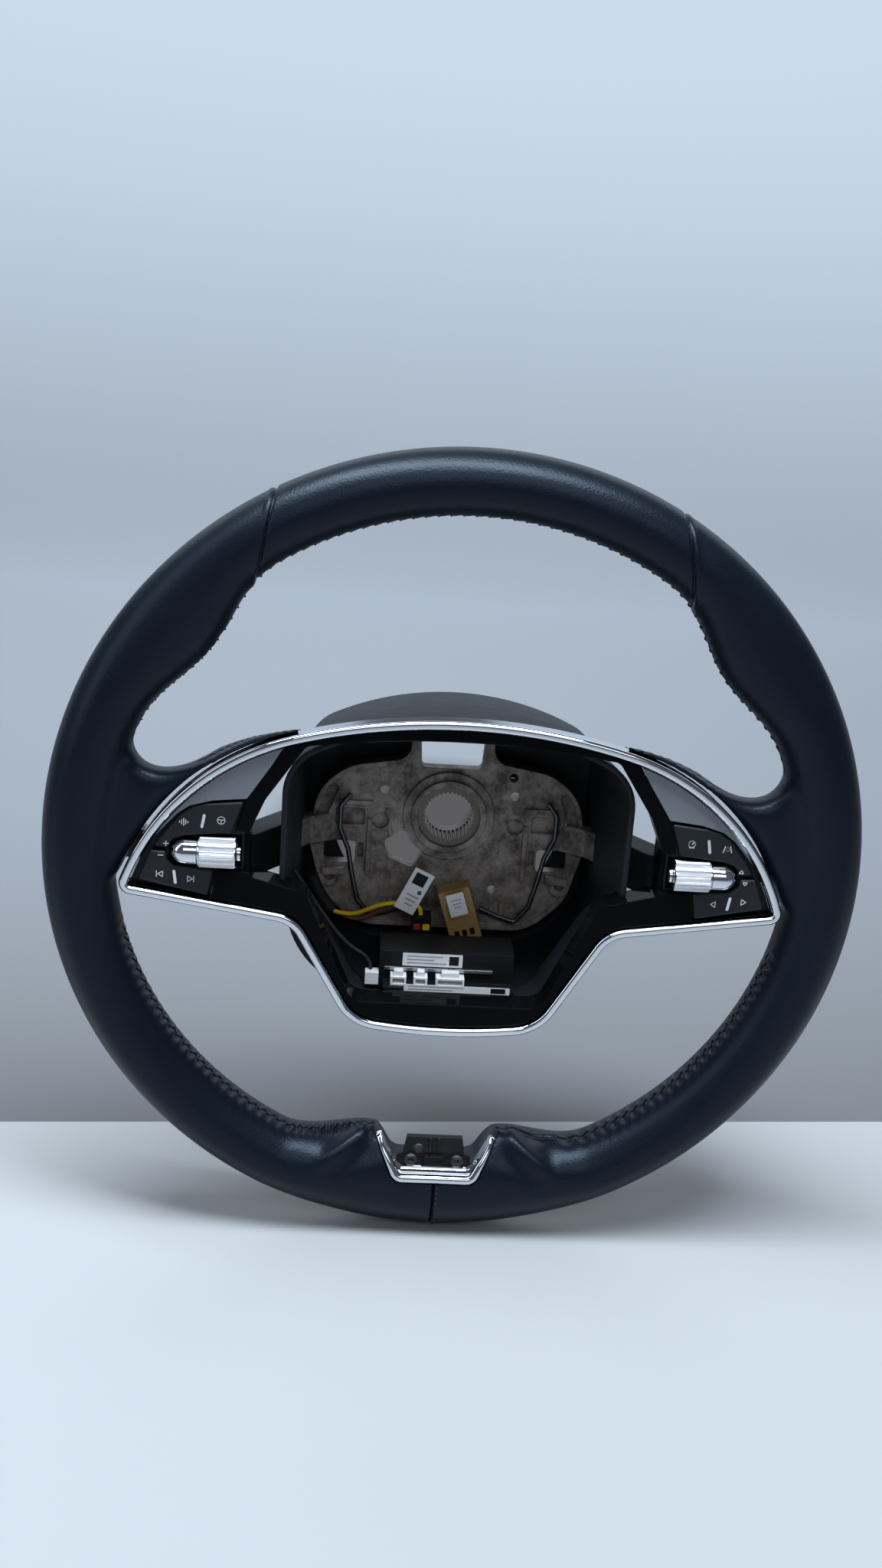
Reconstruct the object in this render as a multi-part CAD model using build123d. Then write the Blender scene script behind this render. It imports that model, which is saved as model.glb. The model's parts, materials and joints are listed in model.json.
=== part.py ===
"""Car steering wheel without its centre cushion, as separate solids in millimetres.

X is right as the driver sees it, +Y runs along the column away from the driver and Z is up.
The origin is on the bore's axis, at the rear face of the hub bush.
"""
import math
import os

from build123d import *

os.makedirs("parts", exist_ok=True)

# Rim: depths below are measured from its middle plane, negative towards the driver
RIM_Y = -86.0
RIM_R = 185.0
TOP_INNER = 156.2
LOW_INNER = 153.4
TOP_DEPTH = 16.5
LOW_DEPTH = 18.5
THUMB_DEG = 39.5
THUMB_SPAN = 18.0
THUMB_RISE = 9.6
LOBE_START = -62.0
LOBE_RUN = 16.0
LOBE_RISE = 16.0
SEAM_INNER_DEG = 53.0
SEAM_OUTER_DEG = 62.0
TOP_DEG = 60.0
RIM_STEPS = 20

# Chrome frame and gloss surround
FRAME_TOP = 68.5
FRAME_TOP_R = 273.0
SHOULDER_X = 75.0
FRAME_TIP = (151.4, -18.2)
FRAME_CROOK = (72.75, -29.9)
FRAME_FOOT = (44.5, -78.5)
FRAME_BASE = -82.3
FRAME_WIDTH = 4.0
FRAME_FRONT = -11.5
SEAT_Y = -3.0
BEZEL_FRONT = -8.8
FIT = 0.25

# Opening in the middle of the surround
OPEN_TOP = 58.7
OPEN_TOP_R = 440.0
OPEN_CORNER_X = 69.0
OPEN_ARM = (86.0, 28.0)
OPEN_SIDE_X = 92.3
OPEN_SIDE_TOP = 13.0
OPEN_SIDE_LOW = -8.7
OPEN_ELBOW = (67.0, -15.2)
OPEN_FOOT = (43.6, -67.2)
OPEN_WALL = 2.2
OPEN_WALL_Y = 5.0

# Key pods, right side; the left side is its mirror image
POD_EDGE = ((73.0, 62.0), (83.5, 43.7), (94.0, 27.6), (98.6, 12.6), (94.5, 11.6), (94.5, -6.8),
            (107.2, -6.8), (109.6, -26.0), (165.0, -30.0), (165.0, 62.0))
PANEL_LOW = ((60.0, 31.3), (92.8, 28.0), (109.2, 26.2), (118.9, 23.4), (124.3, 19.6), (140.0, 2.0),
             (165.0, 2.0), (165.0, 75.0), (60.0, 75.0))
KEY_UPPER = ((95.4, 26.2), (111.7, 24.5), (118.1, 22.6), (123.1, 19.2), (129.4, 11.4), (134.8, 3.6),
             (129.0, 3.2), (126.0, 7.2), (121.5, 9.2), (100.6, 11.3))
KEY_LOWER = ((136.0, 1.6), (129.4, 1.3), (128.6, -2.9), (125.2, -5.2), (108.2, -6.6), (110.3, -18.8),
             (141.6, -12.4))
TUB_EDGE = ((74.0, 64.0), (88.0, 40.0), (92.6, 17.0), (92.6, -9.0), (106.0, -12.0), (106.0, -40.0),
            (165.0, -40.0), (165.0, 64.0))
TUB_INSET = 7.5
TUB_STEP = 9.5
TUB_DEEP = (100.0, 20.0)
KEY_FRONT = -9.0
KEY_BACK = -6.6
UPPER_PIVOT = (111.5, 17.6, 8.0)
LOWER_PIVOT = (125.0, -9.6, 5.0)
PIVOT_Y = -4.4
PIVOT_R = 1.1
PIVOT_PLAY = 0.3
PIVOT_WEB = 0.6
BASE_FRONT = -5.6
BASE_BACK = -1.6
BASE_REAR = 9.0
WALL = 2.0
BOARD_Y = 4.6
BOARD_T = 1.6
BUTTON_R = 2.0
HIGH_POST_X = 104.0
HIGH_POST_DROP = 16.0
LOW_POST = (122.0, 12.0)
POST_R = 2.8
SCREW_R = 1.3
BUTTONS = ((101.5, 19.0), (117.0, 16.0), (117.0, -8.4), (130.5, -5.6))

# Rollers
ROLLER_Y = -8.5
ROLLER_Z = 2.0
ROLLER_R = 7.1
ROLLER_X = (97.7, 115.1)
FLUTES = 36
FLUTE_DEPTH = 0.55
AXLE_R = 2.0
AXLE_PLAY = 0.1
NOSE_X = (115.4, 120.0, 127.2)
NOSE_R = 6.0
YOKE_X = (96.2, 97.4)
YOKE_Y = (0.0, 2.0)
WELL = (95.8, 128.2, -5.7, 9.7)
WELL_FLOOR = 3.0

# Hub casting and bush
PLATE_FRONT = 66.0
PLATE_BACK = 73.0
BOSS_R = 18.5
BOSS_FRONT = 62.5
BUSH_R = 15.5
BORE_R = 12.0
PILOT = 8.0
TEETH = 36
TOOTH_DEPTH = 0.8
PLATE_CORNERS = ((43.0, -59.0), (61.0, -42.0), (68.5, -14.0), (64.5, 11.5), (50.0, 23.5))
PLATE_ROUND = 24.0
LOOP_FOOT = (20.6, 28.6)
LOOP_TOP = (19.4, 50.0)
LOOP_BAR = 43.5
LOOP_WINDOW = (14.8, 24.2)
RIB = 1.6
RECESS = 3.2
SPOKE_PATH = ((58.0, 69.5), (70.0, 62.0), (96.0, 25.0), (140.0, 19.0), (168.0, 2.0))
SPOKE_T = 7.0
SPOKE_Z = (-16.0, -2.0)
SPOKE_END_Z = (-9.0, 3.0)
SPOKE_STEP_X = 100.0

# Rear cover
COVER_HALF = 79.0
COVER_TOP = 66.0
COVER_TOP_R = 150.0
COVER_INSET = 2.5
COVER_BACK = 79.0
COVER_SCALE = 0.9
COVER_WALL = 2.5
COVER_HOLE_R = 58.0
COVER_SLOT = (18.0, 18.0)
COVER_STEP = 22.0
COVER_FOOT = -80.0
COVER_FOOT_R = 48.0
TUB_BACK = 30.0
ARM_GAP = 1.2
ARM_LAP = 13.0

# Horn of foam and leather over each spoke
HORN_FRONT = -7.5
HORN_BACK = 11.0
HORN_GROW = 3.0
HORN_X = 76.5
HORN_WEB = ((112.0, 30.0), (112.0, 39.6), (139.0, 36.0), (152.0, 49.0),
            (158.0, -12.0), (140.0, -12.0))

# Module and plugs at the foot of the opening
MODULE_TOP = -52.8
HOLDER_TOP = -61.0

# Routes of the leads
SLEEVE_ROUTE = ((-66.0, 58.0, -31.0), (-62.0, 60.0, -43.0), (-55.0, 60.0, -50.4))
YELLOW_ROUTE = ((-54.0, 59.2, -50.6), (-47.4, 58.0, -52.0), (-40.0, 56.0, -49.2), (-32.0, 53.0, -43.6),
                (-22.0, 51.8, -41.6), (-11.2, 52.0, -42.2), (-11.2, 52.0, -47.5))
BROWN_ROUTE = ((-54.3, 61.6, -51.4), (-46.0, 60.2, -55.0), (-38.0, 58.6, -53.4), (-29.0, 56.4, -46.4),
               (-13.6, 55.4, -43.2), (-13.6, 55.4, -47.5))
HEATER_ROUTE = ((-73.2, 20.0, -15.0), (-63.0, 20.0, -30.5), (-48.0, 20.0, -51.0), (-35.0, 20.0, -58.0),
                (-35.0, 20.0, -63.4))

# Low spoke trim
NOTCH = ((36.2, -120.0), (19.5, -156.0))
NOTCH_ROUND = 7.0
TRIM_T = 2.8
TRIM_PROUD = 0.8
TRIM_TOP = -136.5
TRIM_BACK = -5.0
CARRIER_T = 3.0
TRIM_SCREW = (11.0, -149.6)
SCREW_HEAD = 3.0
HEAD_T = 1.8


def front(y):
    """Plane that faces the driver, y behind the middle plane of the rim."""
    return Plane(origin=(0, RIM_Y + y, 0), x_dir=(1, 0, 0), z_dir=(0, -1, 0))


def slab(face, y_front, y_back):
    """Solid of a front outline between two depths."""
    return extrude(front(y_back) * face, amount=y_back - y_front, dir=(0, -1, 0))


def block(x, y, z):
    """Box from three (low, high) pairs, with y measured from the rim's middle plane."""
    size = (x[1] - x[0], y[1] - y[0], z[1] - z[0])
    return Pos((x[0] + x[1]) / 2, RIM_Y + (y[0] + y[1]) / 2, (z[0] + z[1]) / 2) * Box(*size)


def pin(x, z, y_front, y_back, radius):
    """Round pin along Y."""
    return slab(Pos(x, z) * Circle(radius), y_front, y_back)


def both(solid):
    """A right-hand solid together with its left-hand twin."""
    return solid + mirror(solid, about=Plane.YZ)


def twin(points):
    """Right-hand outline points followed by their mirror images, as a closed row."""
    return list(points) + [(-x, z) for x, z in reversed(points)]


def plain(points):
    """Face of a row of corner points."""
    return make_face(Polyline(*points, close=True))


def rounded(face, points, radius):
    """Round the corners of an outline that lie at the given points, on either side."""
    picked = [v for v in face.vertices() for p in points
              if abs(abs(v.X) - abs(p[0])) < 0.05 and abs(v.Y - p[1]) < 0.05]
    return fillet(picked, radius)


def ease(t):
    """Smooth step from 0 to 1."""
    t = min(max(t, 0.0), 1.0)
    return t * t * (3 - 2 * t)


def rim_inner(deg):
    """Inner radius of the grip at an angle above the horizontal, right-hand side."""
    base = TOP_INNER + (LOW_INNER - TOP_INNER) * ease((TOP_DEG - deg) / 40.0)
    off = min(abs(deg - THUMB_DEG) / THUMB_SPAN, 1.0)
    thumb = THUMB_RISE * (1 + math.cos(math.pi * off)) / 2
    return base - thumb - LOBE_RISE * ease((LOBE_START - deg) / LOBE_RUN)


def rim_section(deg, inset):
    """Oval section of the grip at an angle, made smaller by an inset."""
    inner = rim_inner(deg)
    middle = (RIM_R + inner) / 2
    depth = TOP_DEPTH + (LOW_DEPTH - TOP_DEPTH) * ease((TOP_DEG - deg) / 50.0)
    turn = math.radians(deg)
    plane = Plane(origin=(middle * math.cos(turn), RIM_Y, middle * math.sin(turn)),
                  x_dir=(math.cos(turn), 0, math.sin(turn)), z_dir=(-math.sin(turn), 0, math.cos(turn)))
    return plane * Ellipse((RIM_R - inner) / 2 - inset, depth - inset)


def rim_half(inset):
    """Right-hand half of the grip as a smooth solid."""
    step = (TOP_DEG + 90.0) / RIM_STEPS
    side = loft([rim_section(TOP_DEG - i * step, inset) for i in range(RIM_STEPS + 1)])
    axis = Axis((0, RIM_Y, 0), (0, -1, 0))
    crown = revolve(rim_section(TOP_DEG, inset), axis=axis, revolution_arc=90.0 - TOP_DEG)
    return side + crown


def arc_top(apex, radius, x_end):
    """Arc across the top, level at the middle, that ends at plus and minus x_end."""
    reach = math.degrees(math.asin(x_end / radius))
    return CenterArc((0, apex - radius), radius, 90 - reach, 2 * reach)


def arc_drop(radius, x):
    """How far an arc that is level at the middle has fallen at x."""
    return radius - math.sqrt(radius ** 2 - x ** 2)


def frame_outline():
    """Front outline of the chrome frame."""
    shoulder = (SHOULDER_X, FRAME_TOP - arc_drop(FRAME_TOP_R, SHOULDER_X))
    lean = math.asin(SHOULDER_X / FRAME_TOP_R)
    right = [TangentArc(shoulder, FRAME_TIP, tangent=(math.cos(lean), -math.sin(lean))),
             Line(FRAME_TIP, FRAME_CROOK),
             Line(FRAME_CROOK, FRAME_FOOT)]
    left = [mirror(edge, about=Plane.YZ) for edge in right]
    base = ThreePointArc(FRAME_FOOT, (0, FRAME_BASE), (-FRAME_FOOT[0], FRAME_FOOT[1]))
    face = make_face([arc_top(FRAME_TOP, FRAME_TOP_R, SHOULDER_X), base] + right + left)
    face = rounded(face, [FRAME_TIP], 5.5)
    face = rounded(face, [FRAME_CROOK], 14.0)
    return rounded(face, [FRAME_FOOT], 24.0)


def opening_outline():
    """Outline of the open middle of the surround."""
    corner = (OPEN_CORNER_X, OPEN_TOP - arc_drop(OPEN_TOP_R, OPEN_CORNER_X))
    side_top = (OPEN_SIDE_X, OPEN_SIDE_TOP)
    side_low = (OPEN_SIDE_X, OPEN_SIDE_LOW)
    right = [Polyline(corner, OPEN_ARM, side_top, side_low, OPEN_ELBOW, OPEN_FOOT)]
    left = [mirror(edge, about=Plane.YZ) for edge in right]
    base = Line(OPEN_FOOT, (-OPEN_FOOT[0], OPEN_FOOT[1]))
    face = make_face([arc_top(OPEN_TOP, OPEN_TOP_R, OPEN_CORNER_X), base] + right + left)
    face = rounded(face, [corner], 5.0)
    face = rounded(face, [side_top, side_low], 2.5)
    face = rounded(face, [OPEN_ARM], 16.0)
    return rounded(face, [OPEN_ELBOW, OPEN_FOOT], 8.0)


def pod_outline(gap):
    """Outline of the right-hand pod inside the frame, made smaller by a gap."""
    rim = offset(frame_outline(), amount=-(FRAME_WIDTH + 2 * FIT + gap))
    edge = plain(POD_EDGE)
    return rim & (offset(edge, amount=-gap, kind=Kind.INTERSECTION) if gap else edge)


def pod_room(gap):
    """Outline of the room behind the right-hand pod, made smaller by a gap."""
    edge = offset(plain(TUB_EDGE), amount=-gap, kind=Kind.INTERSECTION)
    return offset(frame_outline(), amount=-(TUB_INSET + gap)) & edge


def pod_deep(gap):
    """Outline of the deeper room round the spoke's end, made smaller by a gap."""
    x, z = TUB_DEEP
    return pod_room(gap) - plain([(0, z + gap), (x + gap, z + gap), (x + gap, -90), (0, -90)])


def frame_top(x):
    """Height of the frame's outline at x, between its shoulder and its tip."""
    lean = math.asin(SHOULDER_X / FRAME_TOP_R)
    out = Vector(math.sin(lean), math.cos(lean))
    shoulder = Vector(SHOULDER_X, FRAME_TOP - arc_drop(FRAME_TOP_R, SHOULDER_X))
    chord = Vector(*FRAME_TIP) - shoulder
    radius = -chord.dot(chord) / (2 * chord.dot(out))
    middle = shoulder - out * radius
    return middle.Y + math.sqrt(radius ** 2 - (x - middle.X) ** 2)


def posts():
    """Centres of the right-hand screw posts."""
    return (HIGH_POST_X, frame_top(HIGH_POST_X) - HIGH_POST_DROP), LOW_POST


def notch_outline(inset):
    """U-shaped outline of the gap in the low spoke, made smaller by an inset."""
    face = plain(twin(NOTCH))
    face = rounded(face, [NOTCH[1]], NOTCH_ROUND)
    return offset(face, amount=-inset) if inset else face


def spoke_bar(half, z_low, z_high):
    """Bar that follows the right-hand spoke, with a given half thickness."""
    line = Polyline(*[(x, RIM_Y + y) for x, y in SPOKE_PATH])
    face = make_face(offset(line, amount=half, side=Side.BOTH))
    return extrude(Pos(0, 0, z_low) * face, amount=z_high - z_low, dir=(0, 0, 1))


def spoke():
    """Right-hand spoke, which steps up where it enters the pod."""
    inner = spoke_bar(SPOKE_T / 2, *SPOKE_Z) & block((0, SPOKE_STEP_X + 4), (-40, 90), (-60, 60))
    return inner + (spoke_bar(SPOKE_T / 2, *SPOKE_END_Z) & block((SPOKE_STEP_X, 200), (-40, 90), (-60, 60)))


def plate_outline():
    """Front outline of the cast plate with its upper loop."""
    face = plain(twin(list(PLATE_CORNERS) + [LOOP_FOOT, LOOP_TOP]))
    face = rounded(face, PLATE_CORNERS, PLATE_ROUND)
    return rounded(face, [LOOP_FOOT], 8.0)


def plate_relief():
    """Raised edges, ribs and spring clips on the front of the plate, right-hand side."""
    relief = slab(Pos(38.6, -18.0) * Rectangle(2.2, 29.0), PLATE_FRONT - RIB, PLATE_FRONT + 1)
    relief += slab(Pos(46.0, 4.6) * Rectangle(17.0, 2.2), PLATE_FRONT - RIB, PLATE_FRONT + 1)
    relief += slab(Pos(29.5, -49.0) * Rectangle(2.4, 9.0), PLATE_FRONT - RIB, PLATE_FRONT + 1)
    clip = Pos(55.4, -30.6) * Rectangle(11.0, 3.4, rotation=-6)
    relief += slab(clip, PLATE_FRONT - 3 * RIB, PLATE_FRONT + 1)
    curl = Pos(57.5, -33.6) * (Circle(5.2) - Circle(2.4))
    curl -= Pos(57.5, -28.6) * Rectangle(12.0, 8.0)
    return relief + slab(curl, PLATE_FRONT - 2 * RIB, PLATE_FRONT + 1)


def plate_recess():
    """Shallow hollows in the front of the plate, right-hand side."""
    hollow = slab(Pos(48.4, -2.9) * RectangleRounded(14.4, 8.6, 1.0), PLATE_FRONT - 1, PLATE_FRONT + RECESS)
    curve = Pos(60.0, 4.2) * Rot(0, 0, 20) * SlotOverall(20.0, 5.4, rotation=90)
    hollow += slab(curve, PLATE_FRONT - 4, PLATE_FRONT + RECESS)
    hollow += pin(33.5, -4.4, PLATE_FRONT - 1, PLATE_FRONT + RECESS, 4.2)
    slit = Pos(42.6, -20.2) * RectangleRounded(2.8, 7.6, 0.8)
    return hollow + slab(slit, PLATE_FRONT - 2, PLATE_FRONT + RECESS)


def hub_plate():
    """Cast plate with its boss, windows, ribs, spring clips and upper loop."""
    outline = plate_outline()
    window = plain(twin([LOOP_WINDOW, (LOOP_WINDOW[0] + 1.2, LOOP_BAR)]))
    face = outline - rounded(window, [LOOP_WINDOW], 2.5)
    for side in (1, -1):
        face -= Pos(side * 52.8, -21.4) * RectangleRounded(15.6, 11.4, 1.5)
        face -= Pos(side * 32.0, 11.3) * Circle(2.4)
    big = plain([(-31.4, -15.0), (-23.6, -8.6), (-18.4, -9.6), (-11.4, -19.4), (-16.4, -28.4),
                 (-28.6, -23.4)])
    face -= fillet(big.vertices(), 3.0)
    face -= Pos(30.8, 21.0) * Circle(2.2)
    face -= Pos(24.0, -38.0) * Circle(2.2)
    lip = face - offset(outline, amount=-2.4)
    plate = slab(face, PLATE_FRONT, PLATE_BACK) + slab(lip, PLATE_FRONT - RIB, PLATE_FRONT)
    ridge = (Circle(31.0) - Circle(29.0)) & plain([(0, 0), (-60, 4), (-60, -60), (-14, -60)])
    plate += slab(ridge & face, PLATE_FRONT - 1.0, PLATE_FRONT + 1)
    plate += both(plate_relief())
    plate -= both(plate_recess())
    plate += pin(0, 0, BOSS_FRONT, -RIM_Y, BOSS_R)
    plate += pin(0, 0, PLATE_FRONT - RIB, PLATE_BACK, BOSS_R + 4.0)
    return plate - pin(0, 0, BOSS_FRONT - 1, -RIM_Y + 1, BUSH_R)


def armature():
    """Die-cast hub and spokes in one piece."""
    return hub_plate() + both(spoke())


def spline_bush():
    """Steel bush with a serrated length in front of a plain pilot length."""
    points = []
    for i in range(TEETH):
        root = BORE_R + TOOTH_DEPTH
        for part, radius in ((0.0, BORE_R), (0.25, BORE_R), (0.5, root), (0.75, root)):
            turn = 2 * math.pi * (i + part) / TEETH
            points.append((radius * math.cos(turn), radius * math.sin(turn)))
    bush = pin(0, 0, BOSS_FRONT + 1.5, -RIM_Y, BUSH_R)
    bush -= pin(0, 0, BOSS_FRONT, -RIM_Y + 1, BORE_R)
    bush -= slab(plain(points), BOSS_FRONT, -RIM_Y - PILOT)
    return bush


def horn_face():
    """Front outline of the right-hand horn, which springs from the grip above the spoke."""
    outline = frame_outline()
    strip = offset(outline, amount=HORN_GROW)
    web = rounded(plain(HORN_WEB), [HORN_WEB[2]], 11.0)
    limit = plain([(HORN_X, 20.0), (138.0, -11.0), (175.0, -11.0), (175.0, 75.0), (HORN_X, 75.0)])
    return (strip + web) & limit


def rim_parts():
    """Top grip and right-hand grip, each foam with its leather, parted along the slanted seam."""
    outline = frame_outline()
    clear = offset(outline, amount=FIT)
    inner = offset(outline, amount=-(FRAME_WIDTH + 3.0))
    horn = slab(horn_face() - clear, HORN_FRONT, HORN_BACK)
    horn += slab(horn_face() - inner, SEAT_Y + FIT, HORN_BACK)
    grip = rim_half(0.0) + horn
    grip -= slab(clear, -40, SEAT_Y + FIT) + slab(inner, -40, 40)
    grip -= slab(notch_outline(0.0), -40, 40)
    grip -= spoke()
    outer, turn = math.radians(SEAM_OUTER_DEG), math.radians(SEAM_INNER_DEG)
    start = Vector(RIM_R * math.cos(outer), RIM_R * math.sin(outer))
    end = Vector(math.cos(turn), math.sin(turn)) * rim_inner(SEAM_INNER_DEG)
    over, below = start + (start - end), end + (end - start) * 0.5
    top = slab(plain([(-1, below.Y), (below.X, below.Y), (over.X, over.Y), (-1, over.Y)]), -40, 40)
    return both(grip & top), grip - top


def chrome_frame():
    """Bright frame round the whole surround."""
    outline = frame_outline()
    ring = slab(outline - offset(outline, amount=-FRAME_WIDTH), FRAME_FRONT, SEAT_Y)
    edges = [e for e in ring.edges() if abs(e.center().Y - RIM_Y - FRAME_FRONT) < 0.01]
    return fillet(edges, 1.6)


def bezel():
    """Gloss surround with its open middle and its pod openings."""
    plate = offset(frame_outline(), amount=-(FRAME_WIDTH + FIT))
    hole = opening_outline()
    face = plate - hole - pod_outline(0) - mirror(pod_outline(0), about=Plane.YZ)
    wall = (offset(hole, amount=OPEN_WALL) - hole) & face
    solid = slab(face, BEZEL_FRONT, SEAT_Y) + slab(wall, SEAT_Y - 1, OPEN_WALL_Y)
    for side in (1, -1):
        low = sorted((side * (OPEN_SIDE_X - 1), side * (POD_EDGE[4][0] + 1)))
        solid -= block(low, (-20, BASE_FRONT), (POD_EDGE[5][1], POD_EDGE[4][1]))
    return solid


def spoke_panel():
    """Satin panel above the keys."""
    face = pod_outline(FIT) & plain(PANEL_LOW)
    return slab(face, BEZEL_FRONT - 0.1, BASE_FRONT - 0.1)


def key(points, pivot):
    """Rocker key on a moulded pivot rib."""
    face = plain(points)
    face = fillet(face.vertices(), 0.8)
    cap = slab(face, KEY_FRONT, KEY_BACK)
    edges = [e for e in cap.edges() if abs(e.center().Y - RIM_Y - KEY_FRONT) < 0.01]
    cap = chamfer(edges, 0.6)
    x, z, length = pivot
    rib = Pos(x, RIM_Y + PIVOT_Y, z) * Cylinder(PIVOT_R, length)
    web = block((x - PIVOT_WEB, x + PIVOT_WEB), (KEY_BACK, PIVOT_Y), (z - length / 2, z + length / 2))
    return cap + web + rib


def switch_base():
    """Key housing with pivot cradles, button holes and the roller's well."""
    body = slab(pod_outline(FIT), BASE_FRONT, SEAT_Y - 0.1)
    body += slab(pod_room(WALL + 0.4) & pod_outline(FIT), BASE_FRONT + 1, BASE_BACK)
    body += slab(pod_room(WALL + 0.4) - pod_room(2 * WALL + 0.4), BASE_BACK - 1, BASE_REAR)
    x0, x1, z0, z1 = WELL
    well = Pos((x0 + x1) / 2, (z0 + z1) / 2) * Rectangle(x1 - x0, z1 - z0)
    around = offset(well, amount=1.0, kind=Kind.INTERSECTION) & pod_room(WALL + 0.4)
    body += slab(around, BASE_BACK - 1, WELL_FLOOR + 1.4)
    body -= slab(well, BASE_FRONT - 1, WELL_FLOOR)
    for x, z, length in (UPPER_PIVOT, LOWER_PIVOT):
        room = length / 2 + PIVOT_PLAY
        body -= Pos(x, RIM_Y + PIVOT_Y, z) * Cylinder(PIVOT_R + PIVOT_PLAY, 2 * room)
        body -= block((x - PIVOT_R, x + PIVOT_R), (BASE_FRONT - 1, PIVOT_Y), (z - room, z + room))
    for x, z in BUTTONS:
        body -= pin(x, z, BASE_FRONT - 1, BASE_REAR, BUTTON_R + 0.4)
    for x, z in posts():
        post_back = TUB_BACK - WALL - 0.2
        body += pin(x, z, BASE_BACK - 1, post_back, POST_R)
        body -= pin(x, z, BASE_REAR, post_back + 1, SCREW_R + 0.05)
    return body


def switch_board():
    """Board with its press buttons."""
    face = pod_room(2 * WALL + 0.4 + FIT)
    board = slab(face, BOARD_Y, BOARD_Y + BOARD_T)
    for x, z in BUTTONS:
        board += pin(x, z, BASE_FRONT - 0.4, BOARD_Y + 0.5, BUTTON_R)
    for x, z in posts():
        board -= pin(x, z, BOARD_Y - 1, BOARD_Y + BOARD_T + 1, POST_R + FIT)
    return board


def along_x(radius, x0, x1):
    """Cylinder on the roller's axis."""
    return Pos((x0 + x1) / 2, RIM_Y + ROLLER_Y, ROLLER_Z) * Rot(0, 90, 0) * Cylinder(radius, x1 - x0)


def roller():
    """Fluted roller."""
    points = []
    for i in range(FLUTES):
        for part, radius in ((0.0, ROLLER_R), (0.45, ROLLER_R), (0.72, ROLLER_R - FLUTE_DEPTH)):
            turn = 2 * math.pi * (i + part) / FLUTES
            points.append((radius * math.cos(turn), radius * math.sin(turn)))
    plane = Plane(origin=(ROLLER_X[0] + 1.2, RIM_Y + ROLLER_Y, ROLLER_Z), x_dir=(0, 1, 0), z_dir=(1, 0, 0))
    body = extrude(plane * plain(points), amount=ROLLER_X[1] - ROLLER_X[0] - 2.0, dir=(1, 0, 0))
    body += along_x(ROLLER_R - FLUTE_DEPTH - 0.1, *ROLLER_X)
    return body - along_x(AXLE_R + AXLE_PLAY, ROLLER_X[0] - 1, ROLLER_X[1] + 1)


def roller_carrier():
    """Bright nose with the yoke that holds the axle."""
    x0, x1, x2 = NOSE_X
    centre = (0, RIM_Y + ROLLER_Y, ROLLER_Z)
    side = Plane(origin=centre, x_dir=(1, 0, 0), z_dir=(0, -1, 0))
    bulge = (x1 + (x2 - x1) * math.sqrt(0.5), NOSE_R * math.sqrt(0.5))
    profile = make_face([Polyline((x2, 0), (x0, 0), (x0, NOSE_R), (x1, NOSE_R)),
                         ThreePointArc((x1, NOSE_R), bulge, (x2, 0))])
    body = revolve(side * profile, axis=Axis(centre, (1, 0, 0)))
    mid = (ROLLER_Z - 2.5, ROLLER_Z + 2.5)
    body += block((YOKE_X[0], x1), YOKE_Y, mid)
    body += block((x0, x1), (ROLLER_Y, YOKE_Y[1]), mid)
    body += block(YOKE_X, (ROLLER_Y, YOKE_Y[1]), mid)
    body += along_x(3.6, *YOKE_X)
    return body - along_x(AXLE_R, YOKE_X[0] - 1, x1)


def cover_face(bottom, corner):
    """Cover outline: arched top, upright sides and a rounded foot."""
    shoulder = (COVER_HALF, COVER_TOP - arc_drop(COVER_TOP_R, COVER_HALF))
    foot = (COVER_HALF, bottom)
    sides = Polyline((-shoulder[0], shoulder[1]), (-foot[0], foot[1]), foot, shoulder)
    face = make_face([arc_top(COVER_TOP, COVER_TOP_R, COVER_HALF), sides])
    face = rounded(face, [shoulder], 24.0)
    return rounded(face, [foot], corner)


def cover_loft(face, y_front, y_back):
    """Cover form that narrows from its mouth to its back."""
    def at(y):
        return front(y) * scale(face, by=1 - (1 - COVER_SCALE) * (y - SEAT_Y) / (COVER_BACK - SEAT_Y))
    return loft([at(y_front), at(y_back)], ruled=True)


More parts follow.
